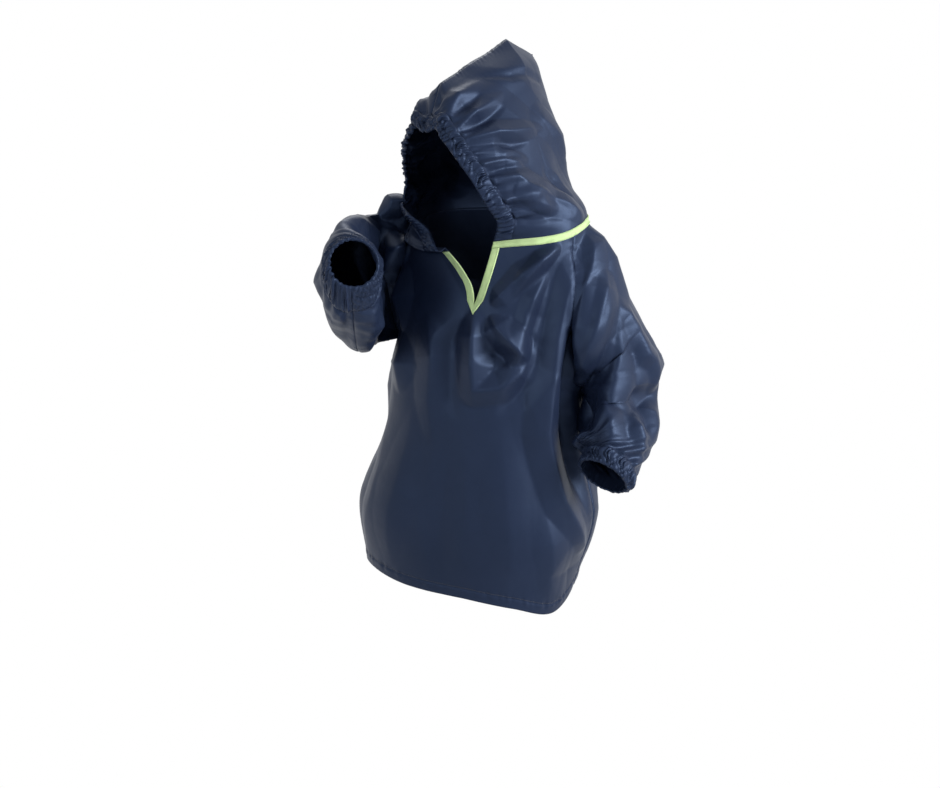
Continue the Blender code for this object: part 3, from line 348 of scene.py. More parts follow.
# ---- the finer creases
# A crease is its reach and the places that it runs through. Its height goes evenly from one to the next, so
# that it starts and ends in the cloth where the height is 0.
CREASES = {
    "body": (
        # chest: pulls from the slit and the neck binding up to the left shoulder
        (18, (12, .158, 0), (17, .139, 8.8), (29, .084, 11.2), (50, .025, 5)),
        (15, (24, .14, 0), (32, .094, 7.5), (42, .05, 8.8), (56, .02, 0)),
        (18, (46, .08, 0), (37, .15, 7.5), (32, .23, 7.5), (31, .28, 0)),
        (28, (54, .06, 0), (46, .2, -13.7), (41, .32, -12.5), (30, .41, -6.3), (18, .46, 0)),
        # under the slit: two sharp edges with a dark facet between them
        (26, (4, .178, 2.5), (5, .24, 17.5), (5, .32, 17.5), (6, .39, 13.7), (20, .38, 13.7),
         (31, .341, 12.5), (40, .28, 2.5)),
        (24, (12, .186, 0), (16, .215, 13.7), (23, .25, 18.7), (31, .288, 17.5), (36, .308, 0)),
        (16, (7, .2, 0), (12, .286, -7.5), (21, .296, -7.5), (30, .298, 0)),
        (22, (-2, .19, 0), (-7, .26, -6.3), (-6, .38, -3.7), (-2, .48, 0)),
        (34, (-24, .18, 0), (-16, .3, 8.1), (-17, .42, 5), (-14, .56, 0)),
        # beside the left arm: the long edge, and the dark hollow behind it
        (30, (65, .04, 0), (64, .092, 7), (57, .164, 13), (52, .254, 17), (51, .347, 18), (50, .5, 18),
         (60, .69, 15), (80, .85, 4)),
        (28, (64, .2, 0), (68, .34, -16), (73, .48, -19), (78, .64, -13), (84, .78, 0)),
        (16, (78, .36, 0), (81, .5, 7), (88, .74, 0)),
        # lower front: long faint flutes
        (39, (22, .48, 0), (23, .721, 3.9), (26, .96, 0)),
        (36, (-4, .5, 0), (-5.9, .735, -3.7), (-6, .97, 0)),
        (39, (-30, .46, 0), (-31, .716, 4.7), (-34, .97, 0)),
        (31, (-64, .56, 0), (-65, .77, -5.9), (-66, .98, 0)),
        (29, (44, .62, 0), (50, .8, 4.5), (56, .98, 0)),
        (42, (70, .82, 0), (73, .905, -6.6), (76, .99, 0)),
        # right of the chest, hanging from the raised arm
        (31, (-60, .06, 0), (-54.2, .168, 15.6), (-46, .26, 0)),
        (34, (-46, .26, 0), (-45, .35, 11.7), (-44, .44, 0)),
        (31, (-68, .13, 0), (-65.1, .268, -15.6), (-60, .4, 0)),
        (34, (-84, .36, 0), (-78.2, .468, 6.1), (-70, .56, 0)),
        (36, (-80, .42, 0), (-76, .56, -6.1), (-72, .7, 0)),
        # back: pulls from both armholes, and long flutes to the hem
        (34, (112, .16, 0), (130.5, .228, 5.5), (150, .25, 0)),
        (31, (110, .22, 0), (127.5, .294, -4.9), (146, .34, 0)),
        (34, (100, .4, 0), (119.4, .333, 5.5), (140, .33, 0)),
        (34, (-114, .12, 0), (-135.6, .182, 5.5), (-158, .2, 0)),
        (31, (-108, .2, 0), (-128.5, .271, -4.9), (-150, .3, 0)),
        (34, (-96, .35, 0), (-117.7, .299, 5.3), (-140, .3, 0)),
        (36, (178, .05, 0), (176, .125, -3.3), (174, .2, 0)),
        (52, (162, .44, 0), (159.9, .71, 6.7), (160, .98, 0)),
        (52, (-170, .5, 0), (-168, .74, -6.7), (-166, .98, 0)),
        (52, (132, .42, 0), (128.3, .699, 7.8), (128, .98, 0)),
        (52, (-134, .48, 0), (-133, .73, -7.2), (-132, .98, 0)),
        (39, (98, .62, 0), (99, .8, 6.6), (100, .98, 0)),
        (47, (-100, .48, 0), (-99, .72, -7.1), (-98, .96, 0)),
        # the left side seam stands out behind the arm
        (39, (102, .32, 6), (104, .44, 15), (109, .6, 12), (112, .78, 6)),
    ),
    "sleeve_left": (
        # long edges from the shoulder and the upper arm to the armpit
        (26, (.38, .08, 0), (.42, .17, 6), (.69, .431, 13), (.83, .62, 12), (.92, .76, 0)),
        (30, (.34, .46, 0), (.44, .58, 10), (.6, .67, 16), (.74, .76, 19), (.9, .94, 16), (.98, 1.01, 4)),
        (14, (.84, .64, 0), (.89, .8, 8), (.94, .96, 3)),
        (20, (.48, .42, 0), (.68, .64, -7), (.8, .76, 0)),
        (22, (.4, .7, 0), (.58, .84, -9), (.76, .98, -11), (.88, 1.08, 0)),
        # the bright column over the elbow, the dark hollow under the arm, and the facet over the cuff
        (30, (.27, .96, 1), (.46, .99, 10), (.61, 1.111, 16), (.7, 1.292, 19), (.64, 1.66, 17),
         (.6, 1.88, 4)),
        (20, (.36, .72, 0), (.26, .835, 5), (.25, .981, 9), (.34, 1.16, 10), (.24, 1.44, 4)),
        (28, (.8, 1.12, 0), (.88, 1.34, -16), (.8, 1.6, -14), (.72, 1.8, 0)),
        (24, (.1, 1.46, 0), (.36, 1.59, -13), (.28, 1.71, -9), (.18, 1.76, 0)),
        (18, (.53, 1.64, 0), (.41, 1.73, 11), (.26, 1.81, 5)),
        (26, (.08, 1.16, 0), (.1, 1.3, 6), (.04, 1.42, 0)),
        (46, (.14, .03, 0), (.12, .2, 10), (.12, .42, 13), (.12, .6, 8), (.12, .8, 0)),
        (31, (-.2, .9, 0), (-.03, 1.199, -6.6), (.2, 1.45, 0)),
        # back and inner side
        (34, (-.2, .25, 0), (-.42, .455, 7.3), (-.6, .7, 0)),
        (31, (-.12, .5, 0), (-.36, .754, -7.2), (-.55, 1.05, 0)),
        (31, (-.16, 1.15, 0), (-.39, 1.199, 7.8), (-.6, 1.3, 0)),
        (31, (-.2, 1.35, 0), (-.44, 1.397, -7.8), (-.66, 1.48, 0)),
        (31, (-.24, 1.52, 0), (-.42, 1.64, 6.1), (-.6, 1.76, 0)),
        (31, (-.8, 1.2, 0), (-.79, 1.48, 5.5), (-.78, 1.76, 0)),
    ),
    "sleeve_right": (
        # the pointed fold towards the chest, and the bag under the forearm in facets
        (28, (-.16, 1.66, 0), (.05, 1.4, 10), (.24, 1, 16), (.66, .4, 17)),
        (26, (.66, .4, 17), (.62, .76, 10), (.5, 1.12, 4)),
        (28, (.3, .56, 0), (.4, .86, -11), (.38, 1.24, 0)),
        (26, (.78, 1.87, 4), (.83, 1.8, 12), (.9, 1.66, 10), (.92, 1.42, 0)),
        (24, (.83, 1.8, 0), (.76, 1.7, 11), (.68, 1.5, 0)),
        (26, (.52, 1.86, 0), (.54, 1.58, -11), (.5, 1.3, 0)),
        (26, (.4, 1.86, 0), (.37, 1.71, 6.1), (.34, 1.56, 0)),
        (9, (.16, 1.86, 0), (.13, 1.73, -4), (.1, 1.6, 0)),
        (28, (-.84, 1.87, 3), (-.76, 1.74, 10), (-.7, 1.5, 8), (-.64, 1.26, 0)),
        (20, (-.92, 1.86, 0), (-.88, 1.7, -8), (-.84, 1.5, 0)),
        (31, (-.2, .6, 0), (-.32, .89, 7.8), (-.36, 1.2, 0)),
        (34, (-.5, .5, 0), (-.56, .898, -7.2), (-.56, 1.3, 0)),
        (34, (-.8, .7, 0), (-.83, 1, 6.1), (-.86, 1.3, 0)),
        (31, (.86, .9, 0), (.83, 1.15, -6.6), (.8, 1.4, 0)),
    ),
    "hood_left": (
        # pleats fan out of the casing and fade
        (18, (.07, .88, 6), (.2, .925, 9), (.38, .94, 0)),
        (12, (.08, .855, -4), (.18, .885, -6), (.3, .895, 0)),
        (18, (.1, .79, 7), (.22, .835, 10), (.4, .85, 0)),
        (12, (.1, .755, -4), (.22, .78, -7), (.38, .795, 0)),
        (20, (.11, .715, 8), (.26, .68, 13), (.42, .625, 6), (.52, .59, 0)),
        (14, (.11, .67, -4), (.25, .625, -8), (.4, .56, 0)),
        (16, (.11, .62, 5), (.2, .6, 8), (.3, .555, 0)),
        (12, (.11, .58, -4), (.2, .555, -6), (.32, .5, 0)),
        (18, (.11, .54, 6), (.22, .52, 9), (.36, .47, 0)),
        (12, (.12, .49, -4), (.2, .48, -6), (.3, .44, 0)),
        (9, (.22, .99, 0), (.15, .965, -5), (.09, .94, 0)),
        # the crease below the peak, pulls to the binding, and the full back edge
        (10, (.36, .96, 0), (.48, .895, -4.5), (.72, .81, -3), (.8, .79, 0)),
        (26, (.13, .45, 3), (.23, .41, 10), (.32, .266, 13), (.42, .085, 5)),
        (26, (.26, .33, 0), (.33, .2, -6), (.38, .09, 0)),
        (24, (.13, .32, 6), (.23, .243, 10), (.31, .15, 0)),
        (20, (.12, .245, -5), (.18, .186, -6), (.24, .12, 0)),
        (16, (.44, .4, 0), (.47, .29, -6), (.48, .16, 0)),
        (60, (.7, .72, 0), (.68, .5, 10), (.68, .32, 8), (.66, .18, 0)),
    ),
    "hood_right": (
        # the roll over the neck seam, pleats out of the casing, and pulls to the binding
        (26, (0, .34, 0), (.02, .25, 6), (.03, .18, 5), (.05, .1, 0)),
        (13, (.07, .88, 5), (.14, .9, 4.9), (.2, .92, 0)),
        (13, (.1, .83, -4.5), (.18, .845, -4.4), (.26, .86, 0)),
        (13, (.11, .77, 5), (.2, .785, 4.7), (.3, .8, 0)),
        (13, (.11, .72, -4.2), (.17, .73, -4.2), (.24, .74, 0)),
        (26, (.11, .66, 4.8), (.22, .668, 4.6), (.32, .65, 0)),
        (13, (.11, .6, -4.5), (.18, .595, -4.4), (.26, .59, 0)),
        (13, (.12, .53, 4.5), (.21, .53, 4.2), (.3, .53, 0)),
        (13, (.12, .47, -4.2), (.19, .46, -4), (.26, .45, 0)),
        (29, (.12, .4, 5.2), (.25, .352, 5.8), (.36, .28, 0)),
        (31, (.3, .42, 0), (.41, .3, -5.6), (.5, .16, 0)),
        (36, (.44, .52, 0), (.52, .346, 5), (.56, .16, 0)),
        (36, (.62, .7, 0), (.66, .452, -4.5), (.66, .2, 0)),
        (42, (.78, .66, 0), (.82, .412, 4.5), (.82, .16, 0)),
        (26, (.4, .9, 0), (.55, .84, -3.2), (.7, .78, 0)),
    ),
}


def table_curve(table, key, column, where):
    """Value of a column at any key, on a smooth curve through the table's rows."""
    keys = np.array([getattr(row, key) for row in table], float)
    values = np.array([getattr(row, column) for row in table], float)
    where = np.asarray(where, float)
    flat = values.reshape(len(keys), -1)
    steps = np.diff(keys)[:, None]
    slopes = np.diff(flat, axis=0) / steps
    tangents = np.vstack([slopes[:1], (slopes[1:] * steps[:-1] + slopes[:-1] * steps[1:])
                          / (steps[1:] + steps[:-1]), slopes[-1:]])
    spot = np.clip(np.searchsorted(keys, where.ravel(), side="right") - 1, 0, len(keys) - 2)
    span = steps[spot]
    share = ((where.ravel() - keys[spot])[:, None] / span)
    square, cube = share ** 2, share ** 3
    result = ((2 * cube - 3 * square + 1) * flat[spot] + (cube - 2 * square + share) * span * tangents[spot]
              + (3 * square - 2 * cube) * flat[spot + 1] + (cube - square) * span * tangents[spot + 1])
    return result.reshape(where.shape + values.shape[1:])


def ease(share):
    """0 to 1 with level ends."""
    share = np.clip(share, 0, 1)
    return share * share * (3 - 2 * share)


def signed_power(value, power):
    """A power that keeps the sign."""
    return np.sign(value) * np.abs(value) ** power


# ---- forms
def body_point(angle, down):
    """A point of the body's form: angle in degrees from the front, down 0 to 1."""
    angle, down = np.broadcast_arrays(np.asarray(angle, float), np.asarray(down, float))
    size = {name: table_curve(BODY, "down", name, down) for name in Body._fields[1:]}
    turn = np.radians(angle)
    power = 2.0 / size["square"]
    reach = np.where(np.cos(turn) > 0, size["front"], size["back"])
    x = np.where(np.sin(turn) > 0, size["left"], size["right"]) * signed_power(np.sin(turn), power)
    y = size["mid_y"] - reach * signed_power(np.cos(turn), power)
    top = table_curve(NECKLINE, "angle", "height", angle)
    bottom = table_curve(HEM, "angle", "height", angle)
    return np.stack([x, y, top + (bottom - top) * down], -1)


def raglan_point(side, face, share):
    """A point of a raglan seam: face is "front" or "back", share 0 at the neckline and 1 at the underarm."""
    angle = side * table_curve(RAGLAN, "share", face, share)
    return body_point(angle, UNDERARM_DOWN[side] * np.asarray(share, float))


def sleeve_middle(table, along):
    """Middle of a sleeve's ring, between its outer and inner points."""
    along = np.clip(along, 0, 2)
    return (table_curve(table, "along", "outer", along) + table_curve(table, "along", "inner", along)) / 2


def sleeve_ring(side, angle, along):
    """A point of a sleeve's rings: angle in degrees from the outer line, + to the front."""
    angle, along = np.broadcast_arrays(np.asarray(angle, float), np.asarray(along, float))
    table = SLEEVE[side]
    outer = table_curve(table, "along", "outer", along)
    inner = table_curve(table, "along", "inner", along)
    course = sleeve_middle(table, along + COURSE_STEP) - sleeve_middle(table, along - COURSE_STEP)
    across = outer - inner
    forward = np.cross(course, across) * side
    forward /= np.linalg.norm(forward, axis=-1, keepdims=True)
    turn = np.radians(angle)[..., None]
    reach = np.where(angle > 0, table_curve(table, "along", "front", along),
                     table_curve(table, "along", "back", along))[..., None]
    return (outer + inner) / 2 + across / 2 * np.cos(turn) + forward * reach * np.sin(turn)


def sleeve_drawn(side, across, along):
    """The sleeve's rings, open down to the underarm with their edges drawn onto the raglan seams."""
    share = np.clip(along, 0, 1)
    widest = SLEEVE_HEAD_ANGLE + (180 - SLEEVE_HEAD_ANGLE) * ease(share)
    ring = sleeve_ring(side, across * widest, along)
    miss_front = raglan_point(side, "front", share) - sleeve_ring(side, widest, share)
    miss_back = raglan_point(side, "back", share) - sleeve_ring(side, -widest, share)
    fade = ease(1 - (along - 1) / UNDERARM_BLEND)[..., None]
    return ring + fade * (ease(across)[..., None] * miss_front + ease(-across)[..., None] * miss_back)


def sleeve_point(side, across, along):
    """A point of a sleeve: across -1 at its back edge, 1 at its front edge; along as in the table.

    It starts on the neckline, its edges run down the raglan seams, and from there they meet under the arm.
    """
    across, along = np.broadcast_arrays(np.asarray(across, float), np.asarray(along, float))
    stops = neck_stops(side)
    neck = body_point((stops[1] + stops[2]) / 2 + (stops[1] - stops[2]) / 2 * across, 0.0)
    miss_neck = neck - sleeve_drawn(side, across, np.zeros_like(along))
    return sleeve_drawn(side, across, along) + ease(1 - along / SLEEVE_NECK_BLEND)[..., None] * miss_neck


def hood_form(side, across, level):
    """A point of the hood alone: across 0 at the face opening, 1 at the centre seam."""
    size = {name: table_curve(HOOD, "level", name, level) for name in Hood._fields[1:]}
    turn = np.radians(size["opening"] + (180 - size["opening"]) * across)
    middle = (size["ahead"] + size["behind"]) / 2
    reach = (size["ahead"] - size["behind"]) / 2
    aside = side * size["half_width"] * np.sin(turn)
    ahead = middle + reach * np.cos(turn) + HOOD_SKEW * aside
    passed = (1 - np.cos(turn)) / 2
    up = size["front_up"] + (size["back_up"] - size["front_up"]) * passed
    swell = ease(passed / HOOD_SWELL_FROM) * np.minimum((1 - passed) / HOOD_SWELL_TO, 1)
    up = up + HOOD_SWELL * level ** HOOD_SWELL_POWER * swell
    cos, sin = math.cos(HOOD_TURN), math.sin(HOOD_TURN)
    return HOOD_MIDDLE + np.stack([aside * cos - ahead * sin, -aside * sin - ahead * cos, up], -1)


def hood_point(side, across, level):
    """A point of the hood sewn on: its lowest part is drawn over to the neckline."""
    across, level = np.broadcast_arrays(np.asarray(across, float), np.asarray(level, float))
    drawn = neck_seam_point(side, across) - hood_form(side, across, np.zeros_like(level))
    points = hood_form(side, across, level) + drawn * ease(1 - level / HOOD_NECK_BLEND)[..., None]
    return points if side == LEFT else points + hood_roll(across, level)


def hood_roll(across, level):
    """How far the roll over the right of the neck seam moves a point of the hood."""
    seam = neck_seam_point(RIGHT, across) - HOOD_MIDDLE
    outward = seam * (1, 1, 0) / np.linalg.norm(seam[..., :2], axis=-1, keepdims=True)
    place = np.clip(level / ROLL_TOP, 0, 1)
    swell = np.sin(math.pi * place ** ROLL_LOW)
    out = ROLL_OUT * np.maximum(swell, 0) ** ROLL_ROUND
    sag = ROLL_DOWN * swell
    out = out * ease((ROLL_ACROSS[1] - across) / (ROLL_ACROSS[1] - ROLL_ACROSS[0]))
    sag = sag * ease((ROLL_SAG_ACROSS[1] - across) / (ROLL_SAG_ACROSS[1] - ROLL_SAG_ACROSS[0]))
    return outward * out[..., None] - np.array((0.0, 0.0, 1.0)) * sag[..., None]


def neck_stops(side):
    """Angles on the neckline of the V slit, the two raglan seams and the centre of the back."""
    front, back = (float(table_curve(RAGLAN, "share", face, 0.0)) for face in ("front", "back"))
    return SLIT_TOP_ANGLE[side], side * front, side * back, side * 180.0


def neck_seam_point(side, across):
    """A point of the seam of hood and body: across 0 at the V slit, 1 at the centre of the back."""
    return body_point(np.interp(across, HOOD_STOPS, neck_stops(side)), 0.0)


# ---- grids
# shape: that of the grid, rows, columns and 3; the front has two halves. Its points are listed row by row.
Panel = namedtuple("Panel", "name shape points quads")
Cover = namedtuple("Cover", "points normals")     # grids of points on a panel's outside, and its normals


def grid_quads(rows, columns, flip=False):
    """Quads of a grid numbered row by row, as arrays of four corners."""
    index = np.arange(rows * columns).reshape(rows, columns)
    quads = np.stack([index[:-1, :-1], index[1:, :-1], index[1:, 1:], index[:-1, 1:]], -1).reshape(-1, 4)
    return quads[:, ::-1] if flip else quads


def yoke_shares():
    """Rows from the neckline to the underarm, one of them at the V slit's point."""
    return np.concatenate([np.linspace(0, SLIT_SHARE, SLIT_ROWS + 1),
                           np.linspace(SLIT_SHARE, 1, YOKE_ROWS - SLIT_ROWS + 1)[1:]])


def row_downs(side):
    """down of each row of the body at one side seam or raglan seam."""
    underarm = UNDERARM_DOWN[side]
    body = np.linspace(underarm, 1 - HEM_SHARE, BODY_ROWS + 1)[1:]
    hem = np.linspace(1 - HEM_SHARE, 1, HEM_ROWS + 1)[1:]
    return np.concatenate([underarm * yoke_shares(), body, hem])


def edge_angles(side, face):
    """Angle of the raglan and side seam at each row, on the front or on the back."""
    raglan = table_curve(RAGLAN, "share", face, yoke_shares())
    return side * np.concatenate([raglan, np.full(BODY_ROWS + HEM_ROWS, 90.0)])


def front_half(side):
    """Angle and down of the front's grid from the middle column to one edge: even steps between the two."""
    opening = np.clip(1 - row_downs(side) / row_downs(side)[SLIT_ROWS], 0, 1) ** SLIT_BEND[side]
    middle = SLIT_BOTTOM_ANGLE + (SLIT_TOP_ANGLE[side] - SLIT_BOTTOM_ANGLE) * opening
    share = np.linspace(0, 1, FRONT_COLUMNS // 2 + 1)[None, :]
    angle = middle[:, None] * (1 - share) + edge_angles(side, "front")[:, None] * share
    middle_down = (row_downs(LEFT) + row_downs(RIGHT))[:, None] / 2
    return angle, middle_down * (1 - share) + row_downs(side)[:, None] * share


def front_panel():
    """Two halves that share their middle column below the slit."""
    halves = np.array([body_point(*front_half(side)) for side in (LEFT, RIGHT)])
    rows, half = halves.shape[1:3]
    quads = np.concatenate([grid_quads(rows, half), grid_quads(rows, half, flip=True) + rows * half])
    shared = np.arange(SLIT_ROWS, rows) * half
    renamed = np.arange(2 * rows * half)
    renamed[shared + rows * half] = shared
    return Panel("front_panel", halves.shape, halves.reshape(-1, 3), renamed[quads])


def grid_panel(name, points, flip=False):
    """A panel with one grid of points."""
    return Panel(name, points.shape, points.reshape(-1, 3), grid_quads(*points.shape[:2], flip=flip))


def back_panel():
    """Even columns from the left seam round the back to the right seam."""
    share = np.linspace(0, 1, BACK_COLUMNS + 1)[None, :]
    left, right = edge_angles(LEFT, "back")[:, None], (edge_angles(RIGHT, "back") + 360)[:, None]
    angle = left * (1 - share) + right * share
    down = row_downs(LEFT)[:, None] * (1 - share) + row_downs(RIGHT)[:, None] * share
    return grid_panel("back_panel", body_point(np.where(angle > 180, angle - 360, angle), down))


def sleeve_alongs():
    """along of each row of a sleeve: the yoke's rows, even rows down the arm, and finer ones at the cuff."""
    arm = np.linspace(1, 2 - CUFF_SHARE, ARM_ROWS + 1)[1:]
    cuff = np.linspace(2 - CUFF_SHARE, 2, CUFF_ROWS + 1)[1:]
    return np.concatenate([yoke_shares(), arm, cuff])


def sleeve_panel(side):
    """Even columns from the back edge to the front edge, rows from the neckline to the wrist."""
    across = np.linspace(-1, 1, SLEEVE_COLUMNS + 1)[None, :]
    points = sleeve_point(side, across, sleeve_alongs()[:, None])
    return grid_panel("sleeve_" + SIDE_NAMES[side], points, flip=side == LEFT)


def hood_across():
    """Across of the hood's columns at the neckline, one for each column of the panels below."""
    counts = (FRONT_COLUMNS // 2, SLEEVE_COLUMNS, BACK_COLUMNS // 2)
    runs = [np.linspace(a, b, n + 1)[:-1] for a, b, n in zip(HOOD_STOPS[:-1], HOOD_STOPS[1:], counts)]
    return np.concatenate(runs + [[1.0]])


def hood_panel(side):
    """Rows from the neckline up; the first columns lie under the casing, at its width."""
    across, level, last = hood_across(), np.linspace(0, 1, HOOD_ROWS + 1), CASING_COLUMNS
    fine = np.linspace(0, 1, HOOD_WALK)
    lines = hood_point(side, fine[None, :], level[:, None])
    steps = np.linalg.norm(np.diff(lines, axis=1), axis=2)
    run = np.concatenate([np.zeros((len(level), 1)), np.cumsum(steps, axis=1)], axis=1)
    spread = ease(level / HOOD_CASING_BLEND)[:, None]
    under = np.array([np.interp(np.linspace(0, CASING_WIDTH, last + 1), row, fine) for row in run])
    rest = under[:, -1:] + (1 - under[:, -1:]) * (across[last + 1:] - across[last]) / (1 - across[last])
    columns = np.concatenate([under, rest], axis=1) * spread + across * (1 - spread)
    points = hood_point(side, columns, level[:, None])
    return grid_panel("hood_" + SIDE_NAMES[side], points, flip=side == LEFT)


# ---- folds
def panel_point(panel, across, along):
    """A point of a panel's plain form, in the terms that its folds are written in."""
    if panel == "body":
        return body_point(across, along)
    side = LEFT if panel.endswith("left") else RIGHT
    return (sleeve_point if panel.startswith("sleeve") else hood_point)(side, across, along)


def fold_line(panel, bow, start, end):
    """Points along a fold and its height at each: a straight run, leaning to one side by a parabola."""
    share = np.linspace(0, 1, FOLD_STEPS)
    across, along, height = (low + (high - low) * share for low, high in zip(start, end))
    lean = bow * 4 * share * (1 - share)
    scale = BODY_DEGREES if panel == "body" else 1.0
    across = across - lean * (end[1] - start[1]) * scale
    along = along + lean * (end[0] - start[0]) / scale
    return panel_point(panel, across, along), height * MM


def crease_line(panel, spots):
    """Points along a crease and its height at each: straight runs from spot to spot in the panel's terms."""
    share = np.linspace(0, len(spots) - 1, CREASE_STEPS * (len(spots) - 1) + 1)
    across, along, height = (np.interp(share, np.arange(len(spots)), column) for column in zip(*spots))
    return panel_point(panel, across, along), height * MM


def ridge(points, line, heights, reach, hollow):
    """Height at each point: that of the line's nearest place, falling to nothing at the width there.

    height = crest * (1 - away / width) ** hollow, its top rounded over RIDGE_ROUND of the width, and
    width = reach * sqrt(crest / highest crest), so that a crease narrows to a point where it runs out.
    """
    near = ((points > line.min(axis=0) - reach) & (points < line.max(axis=0) + reach)).all(axis=1)
    spots = points[near]
    nearest = np.full(len(spots), np.inf)
    crest = np.zeros(len(spots))
    for step in range(len(line) - 1):
        start, run = line[step], line[step + 1] - line[step]
        share = np.clip((spots - start) @ run / (run @ run), 0, 1)
        away = np.linalg.norm(spots - start - share[:, None] * run, axis=1)
        closer = away < nearest
        nearest = np.where(closer, away, nearest)
        crest = np.where(closer, heights[step] + (heights[step + 1] - heights[step]) * share, crest)
    width = reach * np.sqrt(np.abs(crest) / np.abs(heights).max())
    away = nearest / np.maximum(width, TINY)
    rounded = (np.hypot(away, RIDGE_ROUND) - RIDGE_ROUND) / (math.hypot(1, RIDGE_ROUND) - RIDGE_ROUND)
    height = np.zeros(len(points))
    height[near] = crest * np.clip(1 - rounded, 0, 1) ** hollow
    return height


def panel_folds(points):
    """Height of all folds, the large ones of the solids and the finer creases, and of the small dents."""
    total = crumple(points)
    for panel, folds in FOLDS.items():
        for reach, bow, start, end in folds:
            total += ridge(points, *fold_line(panel, bow, start, end), reach * MM, FOLD_HOLLOW)
    for panel, creases in CREASES.items():
        for reach, *spots in creases:
            total += ridge(points, *crease_line(panel, spots), reach * MM, CREASE_HOLLOW)
    return total


def crumple(points):
    """Shallow facets with straight edges: triangle waves in several directions, bent and faded by slow sines.

    height = sum of length * (4 |p - floor(p) - 1/2| - 1) * fade, p = place along a direction / length. Each
    length gives the same slopes. It is calmer low on the front, where the cloth hangs smooth.
    """
    dice = np.random.default_rng(CRUMPLE_SEED)
    total = np.zeros(len(points))
    for length in CRUMPLE_LENGTHS:
        turn, other, slow = (dice.normal(size=3) * CRUMPLE_LEVEL for _ in range(3))
        turn, other, slow = (v / np.linalg.norm(v) for v in (turn, other, slow))
        sway = np.sin(points @ other * (2 * math.pi / (length * CRUMPLE_BEND_LENGTH)) + dice.uniform(0, 6))
        place = points @ turn / length + CRUMPLE_BEND * sway + dice.uniform()
        patch = np.sin(points @ slow * (2 * math.pi / (length * CRUMPLE_FADE_LENGTH)) + dice.uniform(0, 6))
        fade = ease(CRUMPLE_PATCHES[0] + CRUMPLE_PATCHES[1] * patch)
        total += (np.abs(place - np.floor(place) - 0.5) * 4 - 1) * fade * length / CRUMPLE_LENGTHS[0]
    low = ease((-points[:, 2] - CALM_BELOW[0]) / CALM_BELOW[1])
    ahead = ease((-points[:, 1] + CALM_AHEAD[0]) / CALM_AHEAD[1])
    return CRUMPLE_DEPTH * total * (1 - CRUMPLE_CALM * low * ahead)


def waves(place, seed, count, shortest, longest):
    """Uneven ripples: a sum of sines of seeded length, phase and share."""
    dice = np.random.default_rng(seed)
    lengths = np.exp(dice.uniform(math.log(shortest), math.log(longest), count))
    phases = dice.uniform(0, 2 * math.pi, count)
    return np.sin(2 * math.pi * place[..., None] / lengths + phases).sum(axis=-1) / math.sqrt(count)


def runs_along(points, axis):
    """Distance walked along a grid's rows or columns."""
    steps = np.linalg.norm(np.diff(points, axis=axis), axis=2)
    start = np.zeros_like(np.take(steps, [0], axis=axis))
    return np.concatenate([start, np.cumsum(steps, axis=axis)], axis=axis)


def gathers(place, away, seed, reach):
    """Pleats that a casing lets out: ripples along it, deep at its edge, fewer and fainter further away."""
    away = np.clip(away, 0, None)
    tight = waves(place, seed, *GATHER_TIGHT) * np.exp(-away / (GATHER_TIGHT_REACH * reach))
    wide = waves(place, seed + 1, *GATHER_WIDE)
    return GATHER_DEPTH * (GATHER_TIGHT_SHARE * tight + wide) * np.exp(-away / reach)


def ruffles(place, beyond, seed):
    """Ruffles of a tunnel's free edge: ripples that grow with the distance beyond its inner stitch line."""
    ripple = waves(place + RUFFLE_SWAY * waves(place, seed + 1, *RUFFLE_SWAYS), seed, *RUFFLES)
    return RUFFLE_DEPTH * ripple * ease(beyond / CASING_WIDTH)


def seam_relief(away, along, seed):
    """A sewn seam: a narrow groove at it, and little puckers beside it that fade before they reach it."""
    fade = ease(away / SEAM_PUCKERS_FROM) * np.exp(-(away / SEAM_PUCKERS_REACH) ** 2)
    pucker = waves(along, seed, *SEAM_PUCKERS) * fade
    return -SEAM_DIP * np.exp(-(away / SEAM_GROOVE) ** 2) + 0.5 * SEAM_DIP * pucker


def hem_relief(rows, along):
    """The turned hem stands out by a cloth's thickness below its stitched groove, with faint puckers."""
    place = np.arange(rows) - (YOKE_ROWS + BODY_ROWS)
    groove, near = (np.exp(-((place - row) / rows) ** 2) for row, rows in (HEM_GROOVE_AT, HEM_PUCKERS_AT))
    step = HEM_STEP * ease(place / HEM_STEP_ROWS - HEM_STEP_LATE) - HEM_DIP * groove * (place > -2)
    pucker = HEM_PUCKER * near
    return step[:, None] + pucker[:, None] * waves(along, HEM_SEED, *HEM_PUCKERS)


def body_relief(grid, seed, both_sides):
    """Hem, and seams at one edge or both edges, of a grid of the body, with its puckers faded beside them.

    The front's halves have their seam at the last column; their puckers fade at the middle too.
    """
    run, down = runs_along(grid, 1), runs_along(grid, 0)
    other = run[:, -1:] - run
    inside = ease(np.minimum(run, other) / EDGE_BLEND)
    start = 0 if both_sides else seed
    hem = hem_relief(len(grid), run + start) * inside + hem_relief(len(grid), 0 * run) * (1 - inside)
    return seam_relief(np.minimum(run, other) if both_sides else other, down, seed) + hem


